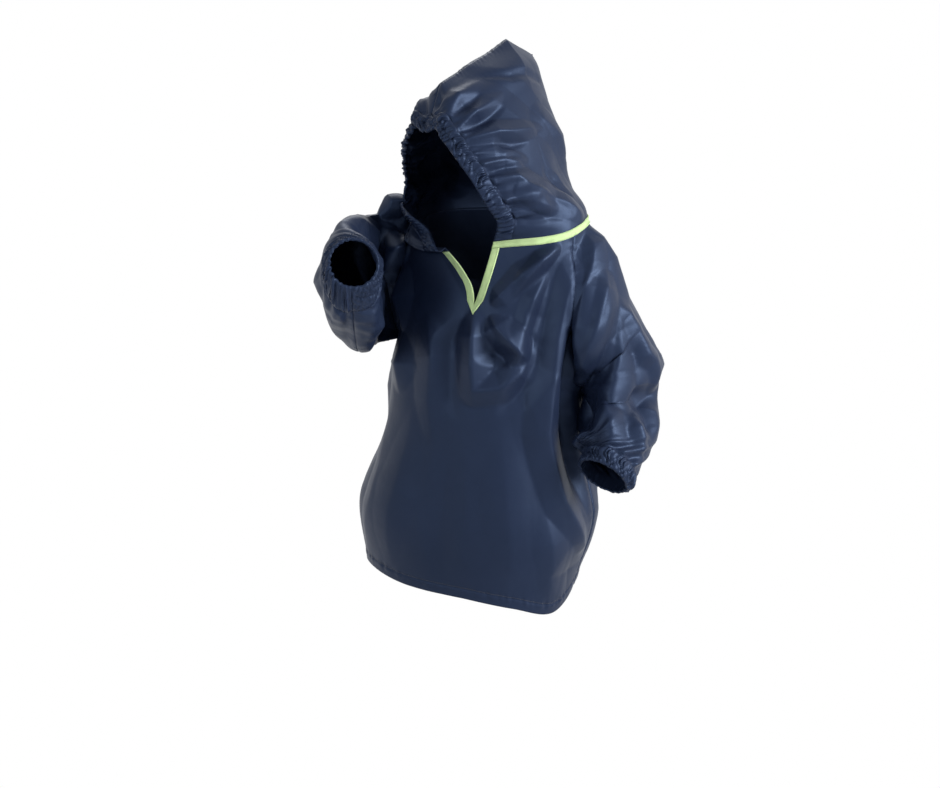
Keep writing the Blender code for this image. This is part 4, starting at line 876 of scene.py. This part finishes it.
def small_relief(panel):
    """Height of gathers, hem and seams of a panel, at each of its points."""
    grid, name = panel.points.reshape(panel.shape), panel.name
    if name == "front_panel":
        halves = zip(grid, (SEAM_SEEDS["front_left"], SEAM_SEEDS["front_right"]))
        return np.concatenate([body_relief(half, seed, False).ravel() for half, seed in halves])
    if name == "back_panel":
        return body_relief(grid, SEAM_SEEDS["back"], True).ravel()
    seed = GATHER_SEEDS[name]
    run, down = runs_along(grid, 1), runs_along(grid, 0)
    far = run[:, -1:] - run
    if name.startswith("sleeve"):
        away = np.minimum(run, far)
        to_cuff = down[-CUFF_ROWS - 1] - down
        height = gathers(run, to_cuff, seed, SLEEVE_GATHER_REACH) * (to_cuff > 0)
        height = height * ease(to_cuff / SLEEVE_GATHERS_FROM) + ruffles(run, -to_cuff, seed + 2)
        return (height * ease(away / SEAM_FADE) + seam_relief(away, down, SEAM_SEEDS["sleeve"])).ravel()
    past, to_top = run - CASING_WIDTH, down[-1] - down
    height = gathers(down, past, seed, HOOD_GATHER_REACH) * ease(past / HOOD_GATHERS_FROM)
    height = (height + ruffles(down, -past, seed + 2)) * ease(down / NECK_FADE) * ease(to_top / TOP_FADE)
    away = np.minimum(far, np.where(past > 0, to_top, run[:, -1:]))
    return (height + seam_relief(away, down + run, SEAM_SEEDS["hood"])).ravel()


# ---- walls
def face_normals(points, quads):
    """Cross product of each quad's diagonals, which is twice its area long."""
    return np.cross(points[quads[:, 2]] - points[quads[:, 0]], points[quads[:, 3]] - points[quads[:, 1]])


def point_normals(points, quads):
    """Sum of the normals of the quads round each point, weighted by their area."""
    facing = face_normals(points, quads)
    total = np.zeros_like(points)
    for corner in range(4):
        np.add.at(total, quads[:, corner], facing)
    return total


def border_edges(quads):
    """Directed edges that only one quad has."""
    edges = np.concatenate([quads[:, [k, (k + 1) % 4]] for k in range(4)])
    low, high = edges.min(axis=1), edges.max(axis=1)
    key = low * (quads.max() + 1) + high
    _, first, count = np.unique(key, return_index=True, return_counts=True)
    return edges[first[count == 1]]


def seam_normals(panels):
    """Unit normals of every panel; where panels' borders meet, the sum of all of them."""
    totals = [point_normals(p.points, p.quads) for p in panels]
    borders = [np.unique(border_edges(p.quads)) for p in panels]
    places = np.concatenate([np.round(p.points[b], SAME_PLACE) for p, b in zip(panels, borders)]) + 0.0
    _, group = np.unique(places, axis=0, return_inverse=True)
    group = group.ravel()
    summed = np.zeros((group.max() + 1, 3))
    np.add.at(summed, group, np.concatenate([t[b] for t, b in zip(totals, borders)]))
    start = 0
    for total, border in zip(totals, borders):
        total[border] = summed[group[start:start + len(border)]]
        start += len(border)
    return [t / np.maximum(np.linalg.norm(t, axis=1, keepdims=True), TINY) for t in totals]


@lru_cache(maxsize=None)
def cloth():
    """Every panel with its folds and relief, as name: (panel, normals)."""
    panels = [front_panel(), back_panel(), sleeve_panel(LEFT), sleeve_panel(RIGHT),
              hood_panel(LEFT), hood_panel(RIGHT)]
    normals = seam_normals(panels)
    heights = [panel_folds(p.points) + small_relief(p) for p in panels]
    folded = [p._replace(points=p.points + n * h[:, None]) for p, n, h in zip(panels, normals, heights)]
    return {p.name: (p, n) for p, n in zip(folded, seam_normals(folded))}


def cover_of(name):
    """A finished panel's grid: rows from the neckline down or up, the front in two halves."""
    panel, normals = cloth()[name]
    return Cover(panel.points.reshape(panel.shape), normals.reshape(panel.shape))


def closed_wall(outer, inner, quads):
    """Points and faces of a wall between two like grids, closed along its borders."""
    edges, count = border_edges(quads), len(outer)
    rim = np.stack([edges[:, 1], edges[:, 0], edges[:, 0] + count, edges[:, 1] + count], -1)
    return np.concatenate([outer, inner]), np.concatenate([quads, quads[:, ::-1] + count, rim]), len(rim)


def make_mesh(name, points, quads, flat_faces=0):
    """An object whose points no face uses are left out; its last flat_faces faces are shaded flat."""
    used, renamed = np.unique(quads, return_inverse=True)
    quads = renamed.reshape(quads.shape)
    mesh = bpy.data.meshes.new(name)
    mesh.vertices.add(len(used))
    mesh.vertices.foreach_set("co", points[used].astype(np.float32).ravel())
    mesh.loops.add(quads.size)
    mesh.loops.foreach_set("vertex_index", quads.astype(np.int32).ravel())
    mesh.polygons.add(len(quads))
    mesh.polygons.foreach_set("loop_start", np.arange(len(quads), dtype=np.int32) * 4)
    mesh.update(calc_edges=True)
    mesh.validate()
    smooth = np.ones(len(mesh.polygons), bool)
    if flat_faces:
        smooth[-flat_faces:] = False
    mesh.polygons.foreach_set("use_smooth", smooth)
    return add_to_scene(name, mesh)


def dress(thing, material):
    """Give a finished piece its material and hang it under the root empty."""
    thing.data.materials.append(material)
    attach(thing, "root")


def stand_for(name):
    """Hide the solid that a sheet stands for."""
    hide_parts(name)


def build_panel(name, sizes):
    """A panel of cloth with its wall, in place of its solid."""
    panel, normals = cloth()[name]
    points, quads, rim = closed_wall(panel.points, panel.points - normals * sizes.wall, panel.quads)
    thing = make_mesh("cloth_" + name, points, quads, rim)
    dress(thing, taffeta())
    stand_for(name)


# ---- trims
def tube_strip(name, cover, lift, profile):
    """A closed strip over a cover: lifted along the normals, its thickness given across the strip."""
    low = (cover.points + cover.normals * lift).reshape(-1, 3)
    high = (cover.points + cover.normals * (lift + profile[..., None])).reshape(-1, 3)
    quads = grid_quads(*cover.points.shape[:2])
    facing = (face_normals(high, quads) * cover.normals.reshape(-1, 3)[quads[:, 0]]).sum()
    if facing < 0:
        quads = quads[:, ::-1]
    points, closed, rim = closed_wall(high, low, quads)
    return make_mesh(name, points, closed, rim)


def finer(cover, times):
    """A cover with rows put in between, straight from one to the next."""
    rows = len(cover.points)
    spot = np.linspace(0, rows - 1, (rows - 1) * times + 1)
    low = np.minimum(spot.astype(int), rows - 2)
    share = (spot - low)[:, None, None]
    points, normals = (grid[low] * (1 - share) + grid[low + 1] * share for grid in cover)
    return Cover(points, normals / np.linalg.norm(normals, axis=-1, keepdims=True))


def elastic_profile(cover, seed, wall):
    """Thickness of a gathered tunnel: a low arch across, pinched by uneven ripples along.

    arch = sin(pi t) to a power, ripples = sum of sines of 4 to 11 mm along the band, bent a little across it.
    """
    along = runs_along(cover.points, 0)
    share = np.linspace(0, 1, cover.points.shape[1])[None, :]
    sway = ELASTIC_SWAY * waves(along, seed + 2, *ELASTIC_SWAYS) * np.sin(math.pi * share)
    ripple = waves(along + sway, seed, *ELASTIC_RIPPLES)
    arch = np.sin(math.pi * share) ** ELASTIC_ROUND
    pinch = ELASTIC_PINCH * ripple * (ELASTIC_PINCHES[0] + ELASTIC_PINCHES[1] * arch)
    return wall * (ELASTIC_ARCH[0] + ELASTIC_ARCH[1] * arch) * (1 + pinch)


def hood_casing_cover():
    """The hood's first columns, from the left end over the forehead to the right end."""
    left, right = ([grid[CASING_START:, :CASING_COLUMNS + 1] for grid in cover_of(name)]
                   for name in ("hood_left", "hood_right"))
    return Cover(*(np.concatenate([a, b[-2::-1]]) for a, b in zip(left, right)))


def cuff_cover(name):
    """The sleeve's last rows, as lines round the wrist."""
    return Cover(*(grid[-CUFF_ROWS - 1:].swapaxes(0, 1) for grid in cover_of(name)))


def walk(lines, normals, distances):
    """Points and normals at distances along each of several lines of points, from their first point."""
    points, facing = (
        np.array([[[np.interp(d, place, row[:, k]) for k in range(3)] for d in distances]
                  for row, place in zip(rows, runs_along(lines, 1))])
        for rows in (lines, normals))
    return points, facing / np.linalg.norm(facing, axis=-1, keepdims=True)


def front_lines(side):
    """Lines of the front panel's half, row by row, from the slit or middle to the side."""
    return Cover(*(grid[0 if side == LEFT else 1] for grid in cover_of("front_panel")))


def lines_from_neck(cover, columns):
    """A panel's columns as lines that run away from the neck seam."""
    return Cover(*(grid[:NECK_ROWS, columns].swapaxes(0, 1) for grid in cover))


def neck_binding_cover(width):
    """Strip over the neck seam: for each point of the neckline, a line across it from hood to body."""
    distances = np.linspace(0, width / 2, BINDING_STEPS // 2 + 1)
    front, back = FRONT_COLUMNS // 2, BACK_COLUMNS // 2
    halves = []
    for side, name in SIDE_NAMES.items():
        above = walk(*lines_from_neck(cover_of("hood_" + name), slice(None)), distances)
        panels = (lines_from_neck(front_lines(side), slice(front)),
                  lines_from_neck(cover_of("sleeve_" + name), slice(None, 0, -1)),
                  lines_from_neck(cover_of("back_panel"),
                                  slice(back + 1) if side == LEFT else slice(None, back - 1, -1)))
        below = walk(*(np.concatenate(parts) for parts in zip(*panels)), distances)
        start = 0 if side == LEFT else front + SLEEVE_COLUMNS
        halves.append([np.concatenate([a[start:, :0:-1], b[start:]], axis=1) for a, b in zip(above, below)])
    right, left = halves
    return Cover(*(np.concatenate([a, b[-2::-1]]) for a, b in zip(left, right)))


def slit_binding_cover(width):
    """Strip down one edge of the V slit, round its point and up the other."""
    distances = np.linspace(0, width, BINDING_STEPS + 1)
    left, right = (walk(*(grid[2:SLIT_ROWS - 1, :SLIT_COLUMNS] for grid in front_lines(side)), distances)
                   for side in (LEFT, RIGHT))
    below = (grid[SLIT_ROWS:SLIT_ROWS + SLIT_POINT_ROWS, 0][None] for grid in front_lines(LEFT))
    point = walk(*below, distances * SLIT_POINT_STRETCH)
    return Cover(*(np.concatenate([a, b, c[::-1]]) for a, b, c in zip(left, point, right)))


def bound_profile(cover, wall):
    """Thickness of a folded binding: rounded at both edges, a little uneven along."""
    share = np.linspace(0, 1, cover.points.shape[1])[None, :]
    along = runs_along(cover.points, 0)
    arch = (1 - (2 * share - 1) ** BINDING_FLAT) ** 0.5
    uneven = BINDING_UNEVEN * waves(along, BINDING_SEED, *BINDING_RIPPLES)
    return wall * (BINDING_ARCH[0] + BINDING_ARCH[1] * arch) * (1 + uneven)


def stitch_row(points, normals, lift):
    """Thread stitches along a line: for each, a square bar of four stations whose ends dip into the cloth.

    spot = centre + ahead * station + across * side + up * (lift + high + bow), the ends of each bar closed
    """
    run = np.concatenate([[0], np.cumsum(np.linalg.norm(np.diff(points, axis=0), axis=1))])
    places = np.arange(STITCH_PITCH / 2, run[-1] - STITCH_PITCH, STITCH_PITCH)

    def at(where, values):
        """Rows of values at places along the line."""
        return np.stack([np.interp(where, run, column) for column in values.T], -1)

    def unit(vectors):
        """Vectors at a length of 1."""
        return vectors / np.maximum(np.linalg.norm(vectors, axis=1, keepdims=True), TINY)

    centre, up = at(places, points), unit(at(places, normals))
    ahead = unit(at(places + STITCH_LENGTH, points) - centre)
    across = np.cross(up, ahead)
    spots = (centre[:, None, None] + ahead[:, None, None] * STITCH_STATIONS[None, :, None, None]
             + across[:, None, None] * STITCH_SIDE[None, None, :, None]
             + up[:, None, None] * (lift + STITCH_HIGH[None, None, :] + STITCH_BOW[None, :, None])[..., None])
    ring = np.arange(4)
    walls = np.stack([ring, (ring + 1) % 4, (ring + 1) % 4 + 4, ring + 4], -1)
    one = np.concatenate([walls, walls + 4, walls + 8, [[3, 2, 1, 0], [12, 13, 14, 15]]])
    quads = (one[None] + (np.arange(len(places)) * 16)[:, None, None]).reshape(-1, 4)
    return spots.reshape(-1, 3), quads


def join_meshes(parts):
    """Points and quads of several meshes as one."""
    starts = np.cumsum([0] + [len(points) for points, quads in parts[:-1]])
    return (np.concatenate([points for points, quads in parts]),
            np.concatenate([quads + start for (points, quads), start in zip(parts, starts)]))


def hem_lines():
    """The stitched line of the hem, on the front's two halves and on the back."""
    row = YOKE_ROWS + BODY_ROWS
    covers = front_lines(LEFT), front_lines(RIGHT), cover_of("back_panel")
    return [(cover.points[row], cover.normals[row], 0.0) for cover in covers]


def tunnel_lines():
    """The inner stitch line of each elastic tunnel, just inside the ruffled band's edge."""
    covers = hood_casing_cover(), cuff_cover("sleeve_left"), cuff_cover("sleeve_right")
    columns = CASING_COLUMNS - 1, 1, 1
    return [(cover.points[:, column], cover.normals[:, column], TUNNEL_STITCH_LIFT)
            for cover, column in zip(covers, columns)]


def binding_lines(width):
    """A line near each edge of each binding."""
    return [(cover.points[:, column], cover.normals[:, column], TRIM_LIFT + BINDING_WALL)
            for cover in (neck_binding_cover(width), slit_binding_cover(width)) for column in (1, -2)]


# ---- materials
def new_material(name):
    """A material's nodes and its shader."""
    material = bpy.data.materials.new(name)
    material.use_nodes = True
    nodes = material.node_tree.nodes
    return material, nodes, nodes["Principled BSDF"]


def feed(node, *inputs, **values):
    """Give a node its first inputs in order, and other inputs and properties by name.

    An output is linked to the input; anything else is set on it.
    """
    named = {key.replace("_", " "): value for key, value in values.items()}
    sockets = [(node.inputs[key], value) for key, value in named.items() if key in node.inputs]
    for socket, value in [*zip(node.inputs, inputs), *sockets]:
        if isinstance(value, bpy.types.NodeSocket):
            node.id_data.links.new(value, socket)
        else:
            socket.default_value = value
    for key, value in values.items():
        if key.replace("_", " ") not in node.inputs:
            setattr(node, key, value)
    return node


def add_node(nodes, kind, *inputs, **values):
    """A new node, fed."""
    return feed(nodes.new("ShaderNode" + kind), *inputs, **values)


def object_spots(nodes):
    """Places on the object, in metres."""
    return add_node(nodes, "TexCoord").outputs["Object"]


def noise(nodes, spots, scale, detail, roughness=0.55):
    """Cloudy noise; scale: how many clouds to a metre."""
    return add_node(nodes, "TexNoise", spots, Scale=scale, Detail=detail, Roughness=roughness).outputs["Fac"]


def ramp(nodes, value, low, high, colours):
    """Colour between two, by a value between low and high."""
    node = add_node(nodes, "ValToRGB", value)
    for element, place, colour in zip(node.color_ramp.elements, (low, high), colours):
        element.position = place
        element.color = (*colour, 1)
    return node.outputs["Color"]


def number_range(nodes, value, low, high, to_low, to_high):
    """A number between two others, by a value between low and high."""
    return add_node(nodes, "MapRange", value, low, high, to_low, to_high).outputs["Result"]


def bands(nodes, spots, direction, pitch, distortion):
    """Sine bands; the texture's own length is 2 pi / 20 / scale."""
    return add_node(nodes, "TexWave", spots, wave_type="BANDS", bands_direction=direction,
                    Scale=2 * math.pi / pitch / 20, Distortion=distortion).outputs["Fac"]


def weave(nodes, spots, pitch):
    """Two crossed sine bands, as warp and weft."""
    warp, weft = (bands(nodes, spots, direction, pitch, 0.3) for direction in ("X", "Z"))
    return add_node(nodes, "Math", warp, weft, operation="MULTIPLY").outputs["Value"]


def add_bump(nodes, shader, heights):
    """Bump nodes in a row, each with a height, a strength and a distance in metres."""
    normal = {}
    for value, strength, distance in heights:
        bump = add_node(nodes, "Bump", Height=value, Strength=strength, Distance=distance, **normal)
        normal = {"Normal": bump.outputs["Normal"]}
    feed(shader, **normal)


@lru_cache(maxsize=None)
def taffeta():
    """Navy coated taffeta: satin gloss, a little uneven, with a fine weave and small crumples."""
    material, nodes, shader = new_material("navy_coated_taffeta")
    deep = tuple(bpy.context.scene.smock_sizes.cloth_colour)
    worn = tuple(min(1.0, c * 1.25 + 0.002) for c in deep)
    spots = object_spots(nodes)
    cloudy, streaks = noise(nodes, spots, 9.0, 4), noise(nodes, spots, 38.0, 5)
    feed(shader, Base_Color=ramp(nodes, cloudy, 0.35, 0.70, (deep, worn)),
         Roughness=number_range(nodes, streaks, 0.3, 0.7, 0.42, 0.50),
         IOR=1.42, Specular_Tint=(0.42, 0.60, 1.0, 1))
    add_bump(nodes, shader, ((noise(nodes, spots, 26.0, 2, 0.5), 0.08, 0.004),
                             (noise(nodes, spots, 150.0, 3), 0.20, 0.0006),
                             (weave(nodes, spots, 0.0009), 0.10, 0.0002)))
    return material


@lru_cache(maxsize=None)
def bias_tape():
    """Lime bias binding: matte twill with slanting ribs."""
    material, nodes, shader = new_material("lime_bias_binding")
    colour = tuple(bpy.context.scene.smock_sizes.binding_colour)
    dull = tuple(c * 0.82 for c in colour)
    spots = object_spots(nodes)
    feed(shader, Base_Color=ramp(nodes, noise(nodes, spots, 60.0, 4), 0.3, 0.7, (dull, colour)),
         Roughness=0.62, Specular_IOR_Level=0.35, Sheen_Weight=0.25, Sheen_Roughness=0.5)
    add_bump(nodes, shader, ((bands(nodes, spots, "DIAGONAL", 0.0011, 0.6), 0.35, 0.0003),
                             (noise(nodes, spots, 420.0, 2), 0.25, 0.0004)))
    return material


@lru_cache(maxsize=None)
def thread(name, colour):
    """Spun thread: matte, with the twist as fine bumps."""
    material, nodes, shader = new_material(name)
    spots = object_spots(nodes)
    dull = tuple(c * 0.7 for c in colour)
    feed(shader, Base_Color=ramp(nodes, noise(nodes, spots, 300.0, 2), 0.3, 0.7, (dull, colour)),
         Roughness=0.7, Sheen_Weight=0.3)
    add_bump(nodes, shader, ((noise(nodes, spots, 1600.0, 2), 0.4, 0.0002),))
    return material


# ---- what a user may change
class SmockSizes(bpy.types.PropertyGroup):
    wall: bpy.props.FloatProperty(name="Cloth", description="Thickness of the shown cloth",
                                  default=0.0006, unit="LENGTH")
    binding_width: bpy.props.FloatProperty(name="Binding", description="Width of the binding as it shows",
                                           default=0.010, unit="LENGTH")
    casing_wall: bpy.props.FloatProperty(name="Casing", description="Thickness of the hood's elastic casing",
                                         default=0.0030, unit="LENGTH")
    cuff_wall: bpy.props.FloatProperty(name="Cuff", description="Thickness of the elastic cuffs",
                                       default=0.0028, unit="LENGTH")
    cloth_colour: bpy.props.FloatVectorProperty(name="Cloth", description="Colour of the coated taffeta",
                                                subtype="COLOR", size=3, default=(0.0085, 0.014, 0.034))
    binding_colour: bpy.props.FloatVectorProperty(name="Binding", description="Colour of the bias binding",
                                                  subtype="COLOR", size=3, default=(0.58, 0.77, 0.37))


class SMOCK_OT_body(bpy.types.Operator):
    """Front and back of the body, with the turned hem"""
    bl_idname = "smock.body"
    bl_label = "Body"

    def execute(self, context):
        for name in ("front_panel", "back_panel"):
            build_panel(name, context.scene.smock_sizes)
        return {"FINISHED"}


class SMOCK_OT_sleeves(bpy.types.Operator):
    """Both raglan sleeves, gathered into their cuffs"""
    bl_idname = "smock.sleeves"
    bl_label = "Sleeves"

    def execute(self, context):
        for name in ("sleeve_left", "sleeve_right"):
            build_panel(name, context.scene.smock_sizes)
        return {"FINISHED"}


class SMOCK_OT_hood(bpy.types.Operator):
    """Both halves of the pointed hood"""
    bl_idname = "smock.hood"
    bl_label = "Hood"

    def execute(self, context):
        for name in ("hood_left", "hood_right"):
            build_panel(name, context.scene.smock_sizes)
        return {"FINISHED"}


class SMOCK_OT_elastic(bpy.types.Operator):
    """The ruffled elastic tunnels round the face and at the wrists"""
    bl_idname = "smock.elastic"
    bl_label = "Elastic casings"

    def execute(self, context):
        sizes = context.scene.smock_sizes
        bands = (("hood_casing", hood_casing_cover(), 3, sizes.casing_wall, 81),
                 ("cuff_left", cuff_cover("sleeve_left"), 4, sizes.cuff_wall, 83),
                 ("cuff_right", cuff_cover("sleeve_right"), 4, sizes.cuff_wall, 87))
        for name, cover, times, wall, seed in bands:
            cover = finer(cover, times)
            thing = tube_strip("ruffle_" + name, cover, TRIM_LIFT, elastic_profile(cover, seed, wall))
            dress(thing, taffeta())
            stand_for(name)
        return {"FINISHED"}


class SMOCK_OT_bindings(bpy.types.Operator):
    """The lime bindings over the neck seam and along the V slit"""
    bl_idname = "smock.bindings"
    bl_label = "Bindings"

    def execute(self, context):
        sizes = context.scene.smock_sizes
        for name, cover in (("neck_binding", neck_binding_cover(sizes.binding_width)),
                            ("slit_binding", slit_binding_cover(sizes.binding_width))):
            cover = finer(cover, 2)
            thing = tube_strip("tape_" + name, cover, TRIM_LIFT, bound_profile(cover, BINDING_WALL))
            dress(thing, bias_tape())
            stand_for(name)
        return {"FINISHED"}


class SMOCK_OT_stitches(bpy.types.Operator):
    """Stitch rows at the hem, the elastic tunnels and the bindings"""
    bl_idname = "smock.stitches"
    bl_label = "Stitches"

    def execute(self, context):
        sizes = context.scene.smock_sizes
        rows = (("stitches_navy", hem_lines() + tunnel_lines(), sizes.cloth_colour, "rain_cloth"),
                ("stitches_lime", binding_lines(sizes.binding_width), sizes.binding_colour, "bias_binding"))
        for name, lines, colour, slot in rows:
            thing = make_mesh(name, *join_meshes([stitch_row(*line) for line in lines]))
            dress(thing, thread(name + "_thread", tuple(colour)))
        return {"FINISHED"}


class SMOCK_OT_stage(bpy.types.Operator):
    """Pale floor and backdrop, soft lamps and the camera"""
    bl_idname = "smock.stage"
    bl_label = "Stage"

    def execute(self, context):
        build_floor()
        build_world(context.scene)
        for lamp in LAMPS:
            add_lamp(*lamp)
        place_camera(context.scene)
        context.scene.view_settings.view_transform = "Standard"
        return {"FINISHED"}


class SMOCK_PT_smock(bpy.types.Panel):
    """The smock's pieces in the sidebar"""
    bl_label = "Rain smock"
    bl_idname = "SMOCK_PT_smock"
    bl_space_type = "VIEW_3D"
    bl_region_type = "UI"
    bl_category = "Smock"

    def draw(self, context):
        sizes = context.scene.smock_sizes
        for key in SmockSizes.__annotations__:
            self.layout.prop(sizes, key)
        for step in STEPS:
            self.layout.operator("smock." + step)


# ---- the stage
def aim(thing, target):
    """Turn a lamp or the camera so that its -Z points at the target."""
    away = Vector(target) - thing.location
    thing.rotation_euler = away.to_track_quat("-Z", "Y").to_euler()


def add_to_scene(name, data):
    """A new object with its mesh, lamp or camera."""
    thing = bpy.data.objects.new(name, data)
    bpy.context.scene.collection.objects.link(thing)
    return thing


def add_lamp(name, place, size, power, colour):
    """A round soft lamp that faces the smock."""
    lamp = bpy.data.lights.new(name, "AREA")
    lamp.shape = "DISK"
    lamp.size = size
    lamp.energy = power
    lamp.color = colour
    thing = add_to_scene(name, lamp)
    thing.location = place
    aim(thing, LAMPS_AT)


def seen_or_mirrored(nodes):
    """1 for rays from the camera, and for those that a reflection or a transmission sends on."""
    paths = add_node(nodes, "LightPath").outputs
    total = paths["Is Camera Ray"]
    for kind in ("Is Glossy Ray", "Is Transmission Ray"):
        total = add_node(nodes, "Math", total, paths[kind], operation="MAXIMUM").outputs["Value"]
    return total


def mixed(nodes, share, first, second):
    """The first surface, and the second in its place by a share."""
    return add_node(nodes, "MixShader", share, first, second).outputs["Shader"]


def build_floor():
    """A pale floor far below the hem, FLOOR_WHITE of it plain white where it is seen or mirrored."""
    floor_z = CAD_BOUNDS[0][2] - FLOOR_DROP
    mesh = bpy.data.meshes.new("floor")
    corners = [(x * FLOOR_REACH, y * FLOOR_REACH, floor_z) for x, y in ((-1, -1), (1, -1), (1, 1), (-1, 1))]
    mesh.from_pydata(corners, [], [(0, 1, 2, 3)])
    material, nodes, shader = new_material("pale_floor")
    feed(shader, Base_Color=(*STAGE_GREY, 1), Roughness=0.9)
    share = add_node(nodes, "Math", seen_or_mirrored(nodes), FLOOR_WHITE, operation="MULTIPLY")
    white = add_node(nodes, "Emission", Strength=1.0)
    feed(nodes["Material Output"],
         mixed(nodes, share.outputs["Value"], shader.outputs["BSDF"], white.outputs["Emission"]))
    mesh.materials.append(material)
    add_to_scene("floor", mesh)


def build_world(scene):
    """Soft light all round, plain white where it is seen or mirrored."""
    scene.world = bpy.data.worlds.new("pale_studio")
    scene.world.use_nodes = True
    nodes = scene.world.node_tree.nodes
    nodes.clear()
    soft = add_node(nodes, "Background", Color=(*WORLD_COLOUR, 1), Strength=WORLD_STRENGTH)
    white = add_node(nodes, "Background", Color=(1, 1, 1, 1), Strength=1.0)
    add_node(nodes, "OutputWorld", mixed(nodes, seen_or_mirrored(nodes), soft.outputs["Background"],
                                         white.outputs["Background"]))


def place_camera(scene):
    """A camera at CAMERA_DISTANCE from its target: azimuth from the front, elevation above the level."""
    camera = bpy.data.cameras.new("camera")
    camera.lens = CAMERA_LENS
    camera.sensor_width = 36.0
    scene.camera = add_to_scene("camera", camera)
    turn, rise = math.radians(CAMERA_AZIMUTH), math.radians(CAMERA_ELEVATION)
    away = Vector((math.sin(turn) * math.cos(rise), -math.cos(turn) * math.cos(rise), math.sin(rise)))
    scene.camera.location = Vector(CAMERA_TARGET) + away * CAMERA_DISTANCE
    aim(scene.camera, CAMERA_TARGET)


STEPS = ("body", "sleeves", "hood", "elastic", "bindings", "stitches", "stage")
CLASSES = (SmockSizes, SMOCK_OT_body, SMOCK_OT_sleeves, SMOCK_OT_hood, SMOCK_OT_elastic, SMOCK_OT_bindings,
           SMOCK_OT_stitches, SMOCK_OT_stage, SMOCK_PT_smock)


def register():
    """Make the sizes and the steps known to Blender."""
    for kind in CLASSES:
        bpy.utils.register_class(kind)
    bpy.types.Scene.smock_sizes = bpy.props.PointerProperty(type=SmockSizes)


def unregister():
    """Take them out again, the last one first."""
    del bpy.types.Scene.smock_sizes
    for kind in reversed(CLASSES):
        bpy.utils.unregister_class(kind)


def main():
    """Build the smock step by step."""
    register()
    for step in STEPS:
        getattr(bpy.ops.smock, step)()


if __name__ == "__main__":
    main()
